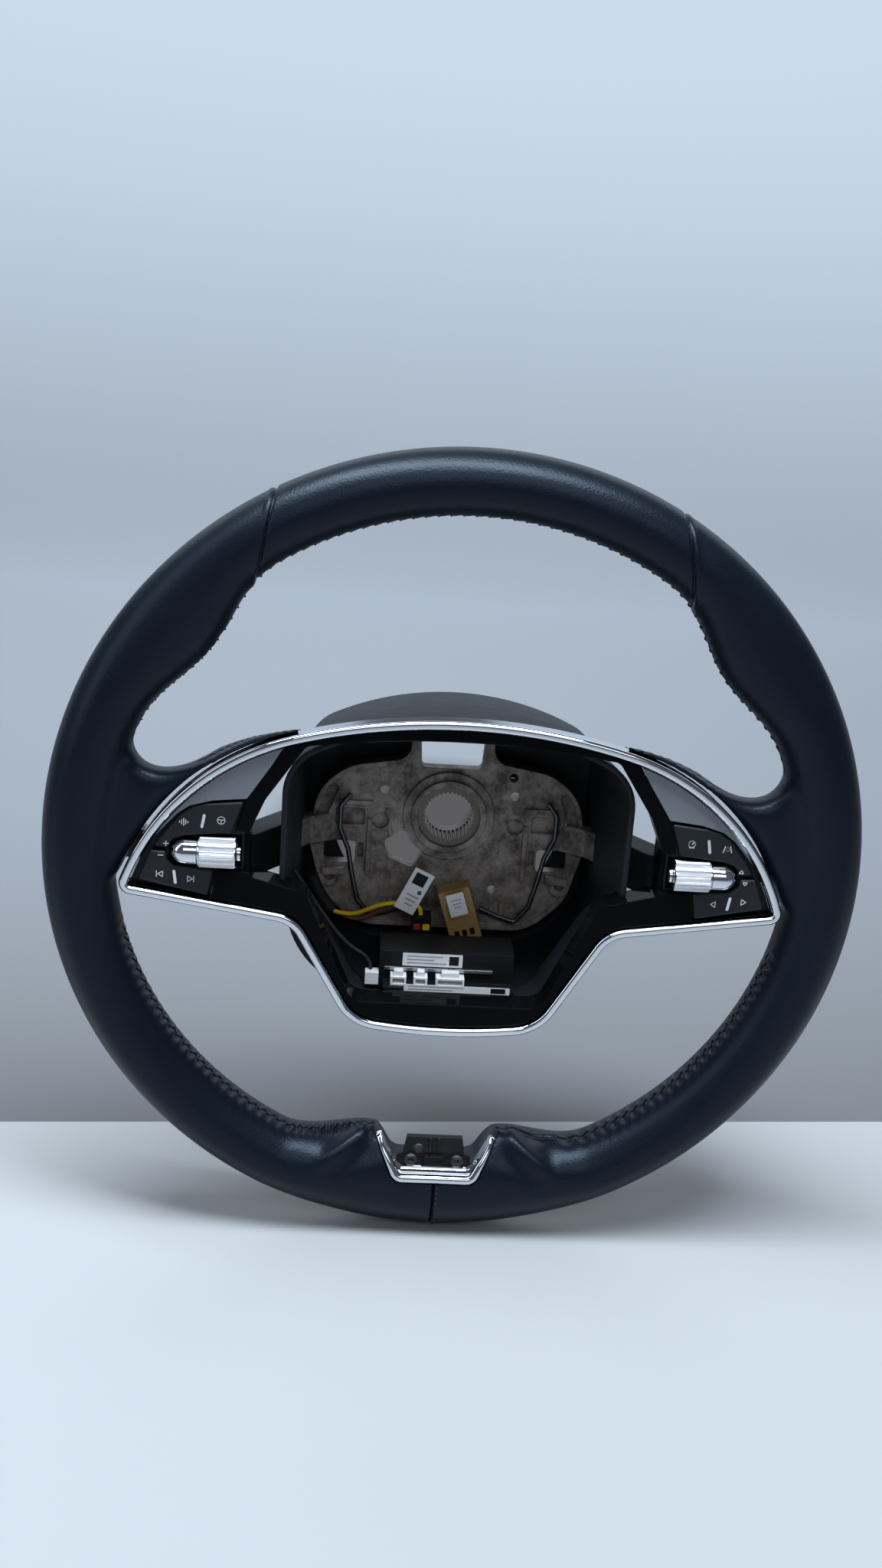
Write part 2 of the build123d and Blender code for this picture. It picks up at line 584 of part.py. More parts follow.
def rear_cover():
    """Grained cover: bowl behind the hub, arms round the spokes and a tub behind each pod."""
    mouth = cover_face(-95.0, 2.0) & offset(frame_outline(), amount=-COVER_INSET)
    deep = cover_face(COVER_FOOT, COVER_FOOT_R)
    bowl = cover_loft(mouth, SEAT_Y + 0.1, COVER_STEP + 8) + cover_loft(deep, COVER_STEP, COVER_BACK)
    bowl -= cover_loft(offset(mouth, amount=-COVER_WALL), SEAT_Y, COVER_STEP + 9)
    bowl -= cover_loft(offset(deep, amount=-COVER_WALL), COVER_STEP + COVER_WALL, COVER_BACK - COVER_WALL)
    x, z = COVER_SLOT
    corner = plain([(x, z), (COVER_HALF, z), (COVER_HALF, COVER_TOP), (x, COVER_TOP)])
    bowl -= slab(Circle(COVER_HOLE_R) - corner - mirror(corner, about=Plane.YZ), 60, 100)
    inside = slab(pod_room(WALL), BASE_BACK - 1, TUB_STEP)
    inside += slab(pod_deep(WALL), BASE_BACK - 1, TUB_BACK - WALL)
    tub = slab(pod_room(0.0), BASE_BACK + 0.1, TUB_STEP + WALL)
    tub += slab(pod_deep(0.0), TUB_STEP, TUB_BACK)
    tub -= inside
    for x, z in posts():
        tub -= pin(x, z, 0, TUB_BACK + 1, SCREW_R + 0.3)
    room = SPOKE_T / 2 + ARM_GAP
    z0, z1 = SPOKE_Z
    arm = spoke_bar(room + WALL, z0 - ARM_GAP - WALL, z1 + ARM_GAP + WALL)
    arm &= block((COVER_HALF - ARM_LAP, SPOKE_STEP_X + 8), (0, 75), (-40, 20))
    arm -= inside
    arm -= cover_loft(offset(deep, amount=-COVER_WALL), -20, COVER_BACK)
    passage = spoke_bar(room, z0 - ARM_GAP, z1 + ARM_GAP)
    passage &= block((0, SPOKE_STEP_X + 5.5), (-40, 90), (-60, 60))
    passage += spoke_bar(room, SPOKE_END_Z[0] - ARM_GAP, SPOKE_END_Z[1] + ARM_GAP) & block(
        (SPOKE_STEP_X - 2, 200), (-40, 90), (-60, 60))
    cover = bowl + both(tub + arm) - both(passage)
    hole = opening_outline()
    wall = offset(hole, amount=OPEN_WALL + FIT) - offset(hole, amount=-FIT)
    return cover - slab(wall, -20, OPEN_WALL_Y + FIT)


def lower_trim():
    """Bright U that lines the gap in the low spoke."""
    outer = notch_outline(FIT)
    band = slab(outer - notch_outline(FIT + TRIM_T), -30, TRIM_BACK)
    skin = rim_half(-TRIM_PROUD)
    return both(band & skin & block((-1, 60), (-40, 40), (-190, TRIM_TOP)))


def lower_trim_carrier():
    """Bracket behind the U, with its screw holes and its middle tab."""
    y = TRIM_BACK + FIT
    face = plain(twin([(13.2, -138.4), (14.6, -146.8), (17.4, -148.0), (17.6, -152.0), (14.2, -155.2)]))
    face -= Pos(-7.5, -144.4) * Circle(2.4)
    plate = slab(face, y, y + CARRIER_T)
    plate += slab(plain(twin([(4.6, -147.4), (4.6, -152.2)])), y - 2.5, y + 1)
    plate += slab(both_strips(2.0, 1.4, (-146.0, -138.4)), y - 1.2, y + 1)
    x, z = TRIM_SCREW
    return plate - both(pin(x, z, y - 1, y + CARRIER_T + 1, SCREW_R + 0.4))


def both_strips(x, width, z):
    """Two upright strips, at plus and minus x, between two heights."""
    strip = Pos(x, (z[0] + z[1]) / 2) * Rectangle(width, z[1] - z[0])
    return strip + mirror(strip, about=Plane.YZ)


def screw(x, z, y_head, length, radius, head):
    """Pan-head screw that points away from the driver."""
    cap = pin(x, z, y_head, y_head + HEAD_T, head)
    cap -= slab(Pos(x, z) * RegularPolygon(head * 0.45, 6), y_head - 1, y_head + 1.0)
    return cap + pin(x, z, y_head + 1.0, y_head + HEAD_T + length, radius)


def tube(points, radius, bend):
    """Round lead along a row of (x, y, z) points with rounded bends."""
    line = FilletPolyline(*[(x, RIM_Y + y, z) for x, y, z in points], radius=bend)
    return sweep(Plane(origin=line @ 0, z_dir=line % 0) * Circle(radius), path=line)


def airbag_spring():
    """Bent wire that holds the cushion, right-hand side."""
    y = PLATE_FRONT - 3.0
    path = [(48.5, y, 9.6), (53.2, y, 3.4), (53.2, y, -8.0), (48.6, y, -19.0), (46.4, y, -31.0),
            (43.0, y, -45.0), (36.5, y, -53.6), (27.5, y, -51.0), (18.5, y, -47.2)]
    return tube(path, 1.2, 2.4)


def control_module():
    """Black module at the foot of the opening, with a shelf under its sockets."""
    body = block((-31, 33), (18, 40), (-72.4, MODULE_TOP))
    body += block((-29, 33), (9, 18.5), (-72.4, -67.6))
    return body + block((-27, 29), (39, 42), (-71.0, -58.0))


def module_headers():
    """Three sockets that stand on the module's shelf."""
    made = []
    for x0, x1 in ((-25.5, -18.0), (-14.5, -8.0), (-4.0, 9.5)):
        shell = block((x0, x1), (11.5, 18.0), (-67.6, -63.2))
        made.append(shell - block((x0 + 1, x1 - 1), (11, 16), (-66.6, -64.2)))
    return made[0] + made[1] + made[2]


def tilted(centre, size, turn):
    """Box turned about Y, with its centre's y measured from the rim's middle plane."""
    x, y, z = centre
    return Pos(x, RIM_Y + y, z) * Rot(0, turn, 0) * Box(*size)


def airbag_connector():
    """Plug body with a raised latch."""
    body = tilted((8.0, 54.0, -45.5), (15.5, 11.0, 27.0), -18.0)
    return body + tilted((6.0, 47.6, -39.5), (9.5, 2.2, 13.0), -18.0)


def connector_holder():
    """Holder under the plugs, open at the top."""
    body = block((-28, 24), (44, 63), (-71.0, HOLDER_TOP))
    return body - block((-25, -3), (47, 60), (-68.0, -40.0))


def cover_screws():
    """Screws that draw the tubs onto the key housings, turned to face the rear."""
    made = None
    for x, z in posts():
        cap = pin(x, z, TUB_BACK, TUB_BACK + 1.8, 2.9)
        cap -= slab(Pos(x, z) * RegularPolygon(1.3, 6), TUB_BACK + 0.8, TUB_BACK + 3)
        one = cap + pin(x, z, TUB_BACK - 10, TUB_BACK + 0.1, SCREW_R)
        made = one if made is None else made + one
    return both(made)


def save(name, solid):
    """Write one named solid."""
    export_step(solid, os.path.join("parts", name + ".step"))


def save_pair(name, solid):
    """Write a right-hand solid and its left-hand twin."""
    save(name + "_right", solid)
    save(name + "_left", mirror(solid, about=Plane.YZ))


def main():
    """Build every part and write it."""
    cast = armature()
    grip_top, grip_side = rim_parts()
    save("armature", cast)
    save("spline_bush", spline_bush())
    save("rim_grip_top", grip_top)
    save_pair("rim_grip", grip_side)
    save("chrome_frame", chrome_frame())
    save("bezel", bezel())
    save("rear_cover", rear_cover())
    save_pair("spoke_panel", spoke_panel())
    save_pair("switch_base", switch_base())
    save_pair("switch_board", switch_board())
    save_pair("key_upper", key(KEY_UPPER, UPPER_PIVOT))
    save_pair("key_lower", key(KEY_LOWER, LOWER_PIVOT))
    save_pair("roller", roller())
    save_pair("roller_carrier", roller_carrier())
    save_pair("roller_axle", along_x(AXLE_R, YOKE_X[0], NOSE_X[1] - 0.5))
    save_pair("airbag_spring", airbag_spring())
    save("lower_trim", lower_trim())
    save("lower_trim_carrier", lower_trim_carrier())
    x, z = TRIM_SCREW
    save("lower_trim_screws", both(screw(x, z, TRIM_BACK + FIT - HEAD_T, 6.0, SCREW_R + 0.3, SCREW_HEAD)))
    save("cover_screws", cover_screws())
    save("control_module", control_module())
    save("module_strip", block((-28.5, 23), (16.9, 18), (-62.2, -60.6)))
    save("module_headers", module_headers())
    save("connector_holder", connector_holder())
    save("airbag_connector", airbag_connector())
    save("squib_connector", block((-15.5, -6.0), (48.0, 58.0), (-67.9, -47.6)))
    save("lead_tag", tilted((-15.2, 50.0, -34.6), (10.5, 0.8, 23.0), 24.8))
    save("harness_sleeve", tube(SLEEVE_ROUTE, 3.0, 4.0))
    save("yellow_lead", tube(YELLOW_ROUTE, 1.1, 1.6))
    save("brown_lead", tube(BROWN_ROUTE, 1.1, 1.6))
    save("heater_lead", tube(HEATER_ROUTE, 1.0, 3.0))
    save("heater_lead_plug", block((-37.5, -31.1), (15.5, 21.5), (-69.5, -63.5)))


main()
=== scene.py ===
"""Looks of a car steering wheel: leather, bright trim, keys, hub and leads, in metres."""
from __future__ import annotations

import json
import logging
import math
import random
from dataclasses import dataclass, field
from enum import Enum
from typing import Callable, Sequence

import bmesh
import bpy
import numpy as np
from mathutils import Matrix, Vector

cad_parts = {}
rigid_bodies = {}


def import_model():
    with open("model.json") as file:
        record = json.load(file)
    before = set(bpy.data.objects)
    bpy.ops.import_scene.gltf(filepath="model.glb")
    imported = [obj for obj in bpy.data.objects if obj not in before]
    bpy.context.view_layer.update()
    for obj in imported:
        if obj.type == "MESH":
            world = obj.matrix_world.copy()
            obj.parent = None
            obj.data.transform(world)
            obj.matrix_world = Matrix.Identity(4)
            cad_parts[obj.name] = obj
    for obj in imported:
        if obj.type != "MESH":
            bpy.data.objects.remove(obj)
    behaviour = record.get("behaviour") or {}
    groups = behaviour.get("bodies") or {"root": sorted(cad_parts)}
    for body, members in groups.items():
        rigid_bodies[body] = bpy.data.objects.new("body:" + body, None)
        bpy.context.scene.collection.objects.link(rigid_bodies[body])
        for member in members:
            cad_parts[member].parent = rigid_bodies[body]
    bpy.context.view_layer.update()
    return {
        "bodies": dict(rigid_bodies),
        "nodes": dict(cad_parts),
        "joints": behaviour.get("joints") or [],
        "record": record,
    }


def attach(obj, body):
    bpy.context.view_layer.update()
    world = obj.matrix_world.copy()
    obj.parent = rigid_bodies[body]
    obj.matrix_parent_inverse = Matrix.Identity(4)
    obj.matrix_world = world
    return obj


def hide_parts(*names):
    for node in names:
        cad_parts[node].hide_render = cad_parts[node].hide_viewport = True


LOG = logging.getLogger("wheel")
MM = 0.001
RIM_Y = -86.0
Pair = tuple[float, float]
Point = tuple[float, float, float]
Colour = tuple[float, float, float]


class Body(Enum):
    """Bodies that pieces ride on."""

    WHEEL = "wheel"
    KEY_UPPER = "key_upper"
    KEY_LOWER = "key_lower"
    ROLLER = "roller"

    def of(self, side: str = "") -> str:
        """Name of this body, on one side of the wheel where it has sides."""
        return f"{self.value}_{side}" if side else self.value


class Graph:
    """Small helper that wires up one material's nodes."""

    def __init__(self, name: str) -> None:
        """Start a material.

        Args:
            name: Name of the material.
        """
        self.material = bpy.data.materials.new(name)
        self.material.use_nodes = True
        self.tree = self.material.node_tree
        self.shader = self.tree.nodes["Principled BSDF"]
        self.place = self.add("ShaderNodeTexCoord").outputs["Object"]

    def add(self, kind: str, **values: object) -> bpy.types.Node:
        """Add a node and set its sockets or properties.

        Args:
            kind: Node type.
            **values: Socket names, with underscores for spaces, or property names.

        Returns:
            The new node.
        """
        node = self.tree.nodes.new(kind)
        for key, value in values.items():
            socket = key.replace("_", " ")
            if socket in node.inputs:
                self.feed(node.inputs[socket], value)
            else:
                setattr(node, key, value)
        return node

    def feed(self, socket: bpy.types.NodeSocket, value: object) -> None:
        """Link a socket to another one, or give it a constant.

        Args:
            socket: Input to fill.
            value: Output socket or constant.
        """
        if isinstance(value, bpy.types.NodeSocket):
            self.tree.links.new(value, socket)
        elif isinstance(value, tuple) and len(value) == 3 and socket.type == "RGBA":
            socket.default_value = (*value, 1.0)
        else:
            socket.default_value = value

    def set(self, **values: object) -> None:
        """Fill sockets of the surface shader.

        Args:
            **values: Socket names, with underscores for spaces.
        """
        for key, value in values.items():
            self.feed(self.shader.inputs[key.replace("_", " ")], value)

    def noise(self, scale: float, detail: float = 3.0, rough: float = 0.55) -> bpy.types.NodeSocket:
        """Noise over the object's own space.

        Args:
            scale: Cells per metre.
            detail: Octaves.
            rough: Roughness of the octaves.

        Returns:
            The factor output.
        """
        node = self.add("ShaderNodeTexNoise", Vector=self.place, Scale=scale, Detail=detail, Roughness=rough)
        return node.outputs[0]

    def cells(self, scale: float) -> bpy.types.NodeSocket:
        """Distance to the nearest cell point.

        Args:
            scale: Cells per metre.

        Returns:
            The distance output.
        """
        return self.add("ShaderNodeTexVoronoi", Vector=self.place, Scale=scale).outputs["Distance"]

    def span(self, value: bpy.types.NodeSocket, low: float, high: float, start: float = 0.0,
             end: float = 1.0) -> bpy.types.NodeSocket:
        """Map a factor onto another range.

        Args:
            value: Factor to map.
            low: Result at the start.
            high: Result at the end.
            start: Factor that gives low.
            end: Factor that gives high.

        Returns:
            The mapped value.
        """
        node = self.add("ShaderNodeMapRange", Value=value)
        for key, number in (("From Min", start), ("From Max", end), ("To Min", low), ("To Max", high)):
            node.inputs[key].default_value = number
        return node.outputs[0]

    def mix(self, factor: bpy.types.NodeSocket, first: object, second: object) -> bpy.types.NodeSocket:
        """Blend two colours.

        Args:
            factor: Share of the second colour.
            first: Colour or socket.
            second: Colour or socket.

        Returns:
            The blended colour.
        """
        node = self.add("ShaderNodeMix", data_type="RGBA")
        self.feed(node.inputs[0], factor)
        self.feed(node.inputs[6], first)
        self.feed(node.inputs[7], second)
        return node.outputs[2]

    def bump(self, height: bpy.types.NodeSocket, strength: float, distance: float,
             under: object = None) -> bpy.types.NodeSocket:
        """Bump from a height.

        Args:
            height: Height factor.
            strength: Share of the effect.
            distance: Height of a full step, in metres.
            under: Normal to start from.

        Returns:
            The new normal.
        """
        node = self.add("ShaderNodeBump", Height=height, Strength=strength, Distance=distance)
        if under is not None:
            self.feed(node.inputs["Normal"], under)
        return node.outputs[0]

    def eased(self, radius: float) -> bpy.types.NodeSocket:
        """Normal with eased edges.

        Args:
            radius: Radius of the easing, in metres.

        Returns:
            The normal.
        """
        return self.add("ShaderNodeBevel", samples=4, Radius=radius).outputs[0]


@dataclass(frozen=True)
class Leather:
    """Smooth black hide with a fine grain."""

    name: str = "leather"
    dark: Colour = (0.0018, 0.0034, 0.0070)
    light: Colour = (0.0038, 0.0060, 0.0110)
    rough: Pair = (0.33, 0.42)
    shine: float = 0.23
    tint: Colour = (0.64, 0.81, 1.0)
    clouds: Pair = (16.0, 4.0)
    smears: Pair = (60.0, 5.0)
    pores: float = 900.0
    pore_bump: Pair = (0.16, 0.0004)
    waves: Pair = (220.0, 4.0)
    wave_bump: Pair = (0.10, 0.0005)

    def make(self) -> bpy.types.Material:
        """Build the material.

        Returns:
            The material.
        """
        g = Graph(self.name)
        g.set(Base_Color=g.mix(g.noise(*self.clouds), self.dark, self.light))
        g.set(Roughness=g.span(g.noise(*self.smears), *self.rough))
        g.set(Specular_IOR_Level=self.shine, Specular_Tint=self.tint)
        grain = g.bump(g.cells(self.pores), *self.pore_bump)
        g.set(Normal=g.bump(g.noise(*self.waves), *self.wave_bump, grain))
        return g.material


@dataclass(frozen=True)
class Metal:
    """Bright or satin metal with slight smears."""

    name: str
    colour: Colour = (0.80, 0.81, 0.83)
    low: float = 0.05
    high: float = 0.12
    edge: float = 0.0
    smears: Pair = (90.0, 4.0)
    waves: Pair = (700.0, 2.0)
    wave_bump: Pair = (0.03, 0.0001)

    def make(self) -> bpy.types.Material:
        """Build the material.

        Returns:
            The material.
        """
        g = Graph(self.name)
        g.set(Base_Color=self.colour, Metallic=1.0)
        g.set(Roughness=g.span(g.noise(*self.smears), self.low, self.high))
        under = g.eased(self.edge) if self.edge else None
        g.set(Normal=g.bump(g.noise(*self.waves), *self.wave_bump, under))
        return g.material


@dataclass(frozen=True)
class Plastic:
    """Moulded plastic with its own gloss and grain."""

    name: str
    colour: Colour
    rough: float = 0.4
    grain: float = 0.0
    pitch: float = 1400.0
    shine: float = 0.4
    edge: float = 0.0003
    clouds: Pair = (45.0, 4.0)
    lighten: Pair = (1.25, 0.002)
    smears: Pair = (120.0, 3.0)
    rough_range: Pair = (0.88, 1.12)
    grain_height: float = 0.0003

    def make(self) -> bpy.types.Material:
        """Build the material.

        Returns:
            The material.
        """
        g = Graph(self.name)
        pale = tuple(min(1.0, c * self.lighten[0] + self.lighten[1]) for c in self.colour)
        g.set(Base_Color=g.mix(g.noise(*self.clouds), self.colour, pale))
        low, high = (min(1.0, self.rough * share) for share in self.rough_range)
        g.set(Roughness=g.span(g.noise(*self.smears), low, high))
        g.set(Specular_IOR_Level=self.shine)
        normal = g.eased(self.edge) if self.edge else None
        if self.grain:
            normal = g.bump(g.cells(self.pitch), self.grain, self.grain_height, normal)
        if normal is not None:
            g.set(Normal=normal)
        return g.material


@dataclass(frozen=True)
class Casting:
    """Stained die-cast surface."""

    name: str = "diecast"
    pale: Colour = (0.345, 0.300, 0.270)
    deep: Colour = (0.088, 0.071, 0.061)
    spot: Colour = (0.022, 0.018, 0.016)
    blotches: tuple[float, ...] = (70.0, 8.0, 0.72)
    blotch_span: tuple[float, ...] = (0.0, 1.0, 0.38, 0.62)
    spots: tuple[float, ...] = (190.0, 6.0, 0.75)
    spot_span: tuple[float, ...] = (0.0, 0.8, 0.55, 0.70)
    flecks: tuple[float, ...] = (620.0, 4.0, 0.7)
    fleck_span: tuple[float, ...] = (0.0, 0.7, 0.60, 0.72)
    metal: float = 0.35
    smears: Pair = (140.0, 4.0)
    rough: Pair = (0.42, 0.68)
    pits: tuple[float, ...] = (420.0, 6.0, 0.7)
    pit_bump: Pair = (0.30, 0.0006)
    edge: float = 0.0006

    def make(self) -> bpy.types.Material:
        """Build the material.

        Returns:
            The material.
        """
        g = Graph(self.name)
        tone = g.mix(g.span(g.noise(*self.blotches), *self.blotch_span), self.pale, self.deep)
        tone = g.mix(g.span(g.noise(*self.spots), *self.spot_span), tone, self.spot)
        tone = g.mix(g.span(g.noise(*self.flecks), *self.fleck_span), tone, self.pale)
        g.set(Base_Color=tone, Metallic=self.metal)
        g.set(Roughness=g.span(g.noise(*self.smears), *self.rough))
        g.set(Normal=g.bump(g.noise(*self.pits), *self.pit_bump, g.eased(self.edge)))
        return g.material


@dataclass(frozen=True)
class Paper:
    """Blank paper label."""

    name: str = "label"
    colour: Colour = (0.80, 0.82, 0.84)
    worn: Colour = (0.70, 0.72, 0.75)
    clouds: Pair = (140.0, 3.0)
    rough: float = 0.45
    waves: Pair = (60.0, 2.0)
    wave_bump: Pair = (0.15, 0.0006)

    def make(self) -> bpy.types.Material:
        """Build the material.

        Returns:
            The material.
        """
        g = Graph(self.name)
        g.set(Base_Color=g.mix(g.noise(*self.clouds), self.colour, self.worn), Roughness=self.rough)
        g.set(Normal=g.bump(g.noise(*self.waves), *self.wave_bump))
        return g.material


@dataclass(frozen=True)
class Ground:
    """Plain surface of the floor and the backdrop; the backdrop may carry a painted shade, dark near the
    wheel and paling with distance, and a painted shadow patch behind the hub.
    """

    name: str
    colour: Colour
    rough: float = 0.55
    # far and reach: the backdrop's dark near colour pales to the far colour over this distance, a painted
    # shade near the wheel.
    far: Colour | None = None
    reach: float = 1.8
    # shade: colour of a painted shadow, a soft dark patch on the backdrop behind the hub where the wheel's
    # shade would fall; the next three give its middle, its reach and its core.
    shade: Colour | None = None
    painted_shadow_at: Pair = (0.037, 0.46)
    painted_shadow_reach: Pair = (0.163, 0.26)
    painted_shadow_core: float = 0.35
    clouds: Pair = (3.0, 4.0)
    darken: float = 0.95
    waves: Pair = (260.0, 3.0)
    wave_bump: Pair = (0.05, 0.0005)

    def make(self) -> bpy.types.Material:
        """Build the material.

        Returns:
            The material.
        """
        g = Graph(self.name)
        deep = tuple(c * self.darken for c in self.colour)
        tone = g.mix(g.noise(*self.clouds), self.colour, deep)
        # Painted shade: darker near the wheel, paling to the far colour with distance along y.
        if self.far:
            away = g.add("ShaderNodeSeparateXYZ", Vector=g.place).outputs["Y"]
            tone = g.mix(g.span(away, 0.0, 1.0, 0.0, self.reach), tone, self.far)
        # Painted shadow: a soft dark patch on the backdrop behind the hub, strongest at its middle and fading
        # out over its reach.
        if self.shade:
            (x, y), (wide, long) = self.painted_shadow_at, self.painted_shadow_reach
            spot = g.add("ShaderNodeMapping", Vector=g.place, Location=(-x / wide, -y / long, 0.0),
                         Scale=(1 / wide, 1 / long, 0.0))
            near = g.add("ShaderNodeTexGradient", gradient_type="SPHERICAL", Vector=spot.outputs[0])
            tone = g.mix(g.span(near.outputs["Fac"], 0.0, 1.0, 0.0, self.painted_shadow_core), tone, self.shade)
        g.set(Base_Color=tone, Roughness=self.rough)
        g.set(Normal=g.bump(g.noise(*self.waves), *self.wave_bump))
        return g.material


Finish = Leather | Metal | Plastic | Casting | Paper | Ground
FINISHES = {finish.name: finish for finish in (
    Leather(),
    Casting(),
    Metal("steel", (0.42, 0.43, 0.44), 0.22, 0.38, 0.0003),
    Metal("chrome", (0.66, 0.68, 0.72), 0.03, 0.07),
    Metal("knurled", (0.74, 0.75, 0.78), 0.12, 0.22),
    Plastic("gloss_black", (0.0012, 0.0014, 0.0020), 0.04, edge=0.0010, shine=0.03),
    Plastic("cover", (0.0095, 0.0110, 0.0140), 0.55, grain=0.35, pitch=950.0, edge=0.002,
            shine=0.18),
    Plastic("panel", (0.130, 0.140, 0.164), 0.30, grain=0.05, edge=0.0004),
    Plastic("key", (0.0090, 0.0098, 0.0122), 0.42, grain=0.06, edge=0.0005, shine=0.24),
    Plastic("black_plastic", (0.0050, 0.0054, 0.0062), 0.48, grain=0.10, shine=0.2),
    Plastic("board", (0.012, 0.075, 0.030), 0.40),
    Plastic("gold", (0.30, 0.185, 0.060), 0.42, grain=0.08),
    Plastic("white", (0.72, 0.73, 0.74), 0.42),
    Plastic("sleeve", (0.010, 0.010, 0.011), 0.55, grain=0.2, pitch=700.0, edge=0.0),
    Plastic("yellow", (0.78, 0.52, 0.015), 0.38, edge=0.0),
    Plastic("brown", (0.13, 0.055, 0.022), 0.42, edge=0.0),
)}

DARK_STEEL = Metal("dark_steel", (0.125, 0.130, 0.140), 0.30, 0.46, 0.0002)
BUSH = Metal("bush", (0.150, 0.128, 0.112), 0.42, 0.60, 0.0003)
NODE_FINISHES = {
    "spline_bush": BUSH,
    "airbag_spring_left": DARK_STEEL, "airbag_spring_right": DARK_STEEL,
    "lower_trim_screws": DARK_STEEL,
    "roller_axle_left": DARK_STEEL, "roller_axle_right": DARK_STEEL,
}


class Shop:
    """Keeps one material for each finish."""

    def __init__(self) -> None:
        """Start with no materials made."""
        self.made: dict[str, bpy.types.Material] = {}

    def get(self, slot: str) -> bpy.types.Material:
        """Material of a slot of the record."""
        return self.other(FINISHES[slot])

    def other(self, finish: Finish) -> bpy.types.Material:
        """Material of a finish, made on first use.

        Args:
            finish: Finish to make.

        Returns:
            The material.
        """
        if finish.name not in self.made:
            self.made[finish.name] = finish.make()
        return self.made[finish.name]


def place(name: str, data: bpy.types.ID) -> bpy.types.Object:
    """Link a new object into the scene.

    Args:
        name: Name of the object.
        data: Its mesh, curve, lamp or camera.

    Returns:
        The object.
    """
    obj = bpy.data.objects.new(name, data)
    bpy.context.scene.collection.objects.link(obj)
    return obj


def applied(obj: bpy.types.Object) -> bpy.types.Mesh:
    """New mesh of an object with its modifiers applied."""
    return bpy.data.meshes.new_from_object(obj.evaluated_get(bpy.context.evaluated_depsgraph_get()))


@dataclass
class Kit:
    """What every sub-assembly needs: the frame and the materials."""

    frame: dict
    shop: Shop = field(default_factory=Shop)
    pieces: list[str] = field(default_factory=list)

    def add(self, name: str, data: bpy.types.ID, slot: str, body: str,
            material: bpy.types.Material | None = None, stands_for: Sequence[str] = ()) -> bpy.types.Object:
        """Put a finished piece into the scene on its body.

        Args:
            name: Name of the piece.
            data: Its mesh or curve, in metres.
            slot: Record slot that it takes its finish from.
            body: Body that it rides on.
            material: Material to use in place of the slot's own.
            stands_for: CAD nodes that it replaces.

        Returns:
            The new object.
        """
        obj = place(name, data)
        data.materials.append(material or self.shop.get(slot))
        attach(obj, body)
        if stands_for:
            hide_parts(*stands_for)
        self.pieces.append(name)
        LOG.info("%s rides on %s", name, body)
        return obj


def smooth_mesh(name: str, points: np.ndarray, faces: Sequence[Sequence[int]],
                shade: bool = True) -> bpy.types.Mesh:
    """Mesh from points in millimetres.

    Args:
        name: Name of the mesh.
        points: Rows of x, y, z in millimetres.
        faces: Corner numbers of each face.
        shade: Whether faces are shaded smooth.

    Returns:
        The mesh, in metres.
    """
    mesh = bpy.data.meshes.new(name)
    mesh.from_pydata((np.asarray(points, float) * MM).tolist(), [], [list(f) for f in faces])
    mesh.validate()
    mesh.update()
    if shade:
        mesh.shade_smooth()
    return mesh


def grid_faces(rows: int, cols: int, wrap_rows: bool, wrap_cols: bool) -> list[tuple[int, int, int, int]]:
    """Faces of a grid of points.

    Args:
        rows: Number of rows.
        cols: Points in a row.
        wrap_rows: Whether the last row joins the first.
        wrap_cols: Whether a row closes on itself.

    Returns:
        Corner numbers of each face.
    """
    faces = []
    for i in range(rows if wrap_rows else rows - 1):
        for j in range(cols if wrap_cols else cols - 1):
            a, b = i * cols, (i + 1) % rows * cols
            k = (j + 1) % cols
            faces.append((a + j, a + k, b + k, b + j))
    return faces


def tube_faces(rows: int, cols: int) -> list[tuple[int, ...]]:
    """Faces of a tube of closed rows of points, with both ends capped."""
    last = (rows - 1) * cols
    return grid_faces(rows, cols, False, True) + [tuple(range(cols))[::-1], tuple(range(last, last + cols))]


def vectors(mesh: bpy.types.Mesh, key: str) -> np.ndarray:
    """Rows of one vector value of a mesh's points.

    Args:
        mesh: Mesh to read.
        key: Name of the value.

    Returns:
        Rows of x, y and z.
    """
    out = np.empty(len(mesh.vertices) * 3)
    mesh.vertices.foreach_get(key, out)
    return out.reshape(-1, 3)


def face_out(mesh: bpy.types.Mesh) -> None:
    """Turn every face of a closed mesh outwards.

    Args:
        mesh: Mesh to change.
    """
    bm = bmesh.new()
    bm.from_mesh(mesh)
    bmesh.ops.recalc_face_normals(bm, faces=bm.faces)
    bm.to_mesh(mesh)
    bm.free()


def ease(t: np.ndarray | float) -> np.ndarray:
    """Smooth step from 0 to 1."""
    t = np.clip(t, 0.0, 1.0)
    return t * t * (3 - 2 * t)


def rising(value: np.ndarray | float, start: np.ndarray | float, over: float) -> np.ndarray:
    """Smooth step that starts at a value and is full further up."""
    return ease((value - start) / over)


def falling(value: np.ndarray | float, start: np.ndarray | float, over: float) -> np.ndarray:
    """Smooth step that starts at a value and is full further down."""
    return ease((start - value) / over)


@dataclass(frozen=True)
class Bump:
    """Soft ridge or groove along a line: its height, its distance from the line and its width."""

    height: float
    at: float
    width: float

    def over(self, off: np.ndarray) -> np.ndarray:
        """Height at distances from the line."""
        return self.height * np.exp(-((off - self.at) / self.width) ** 2)


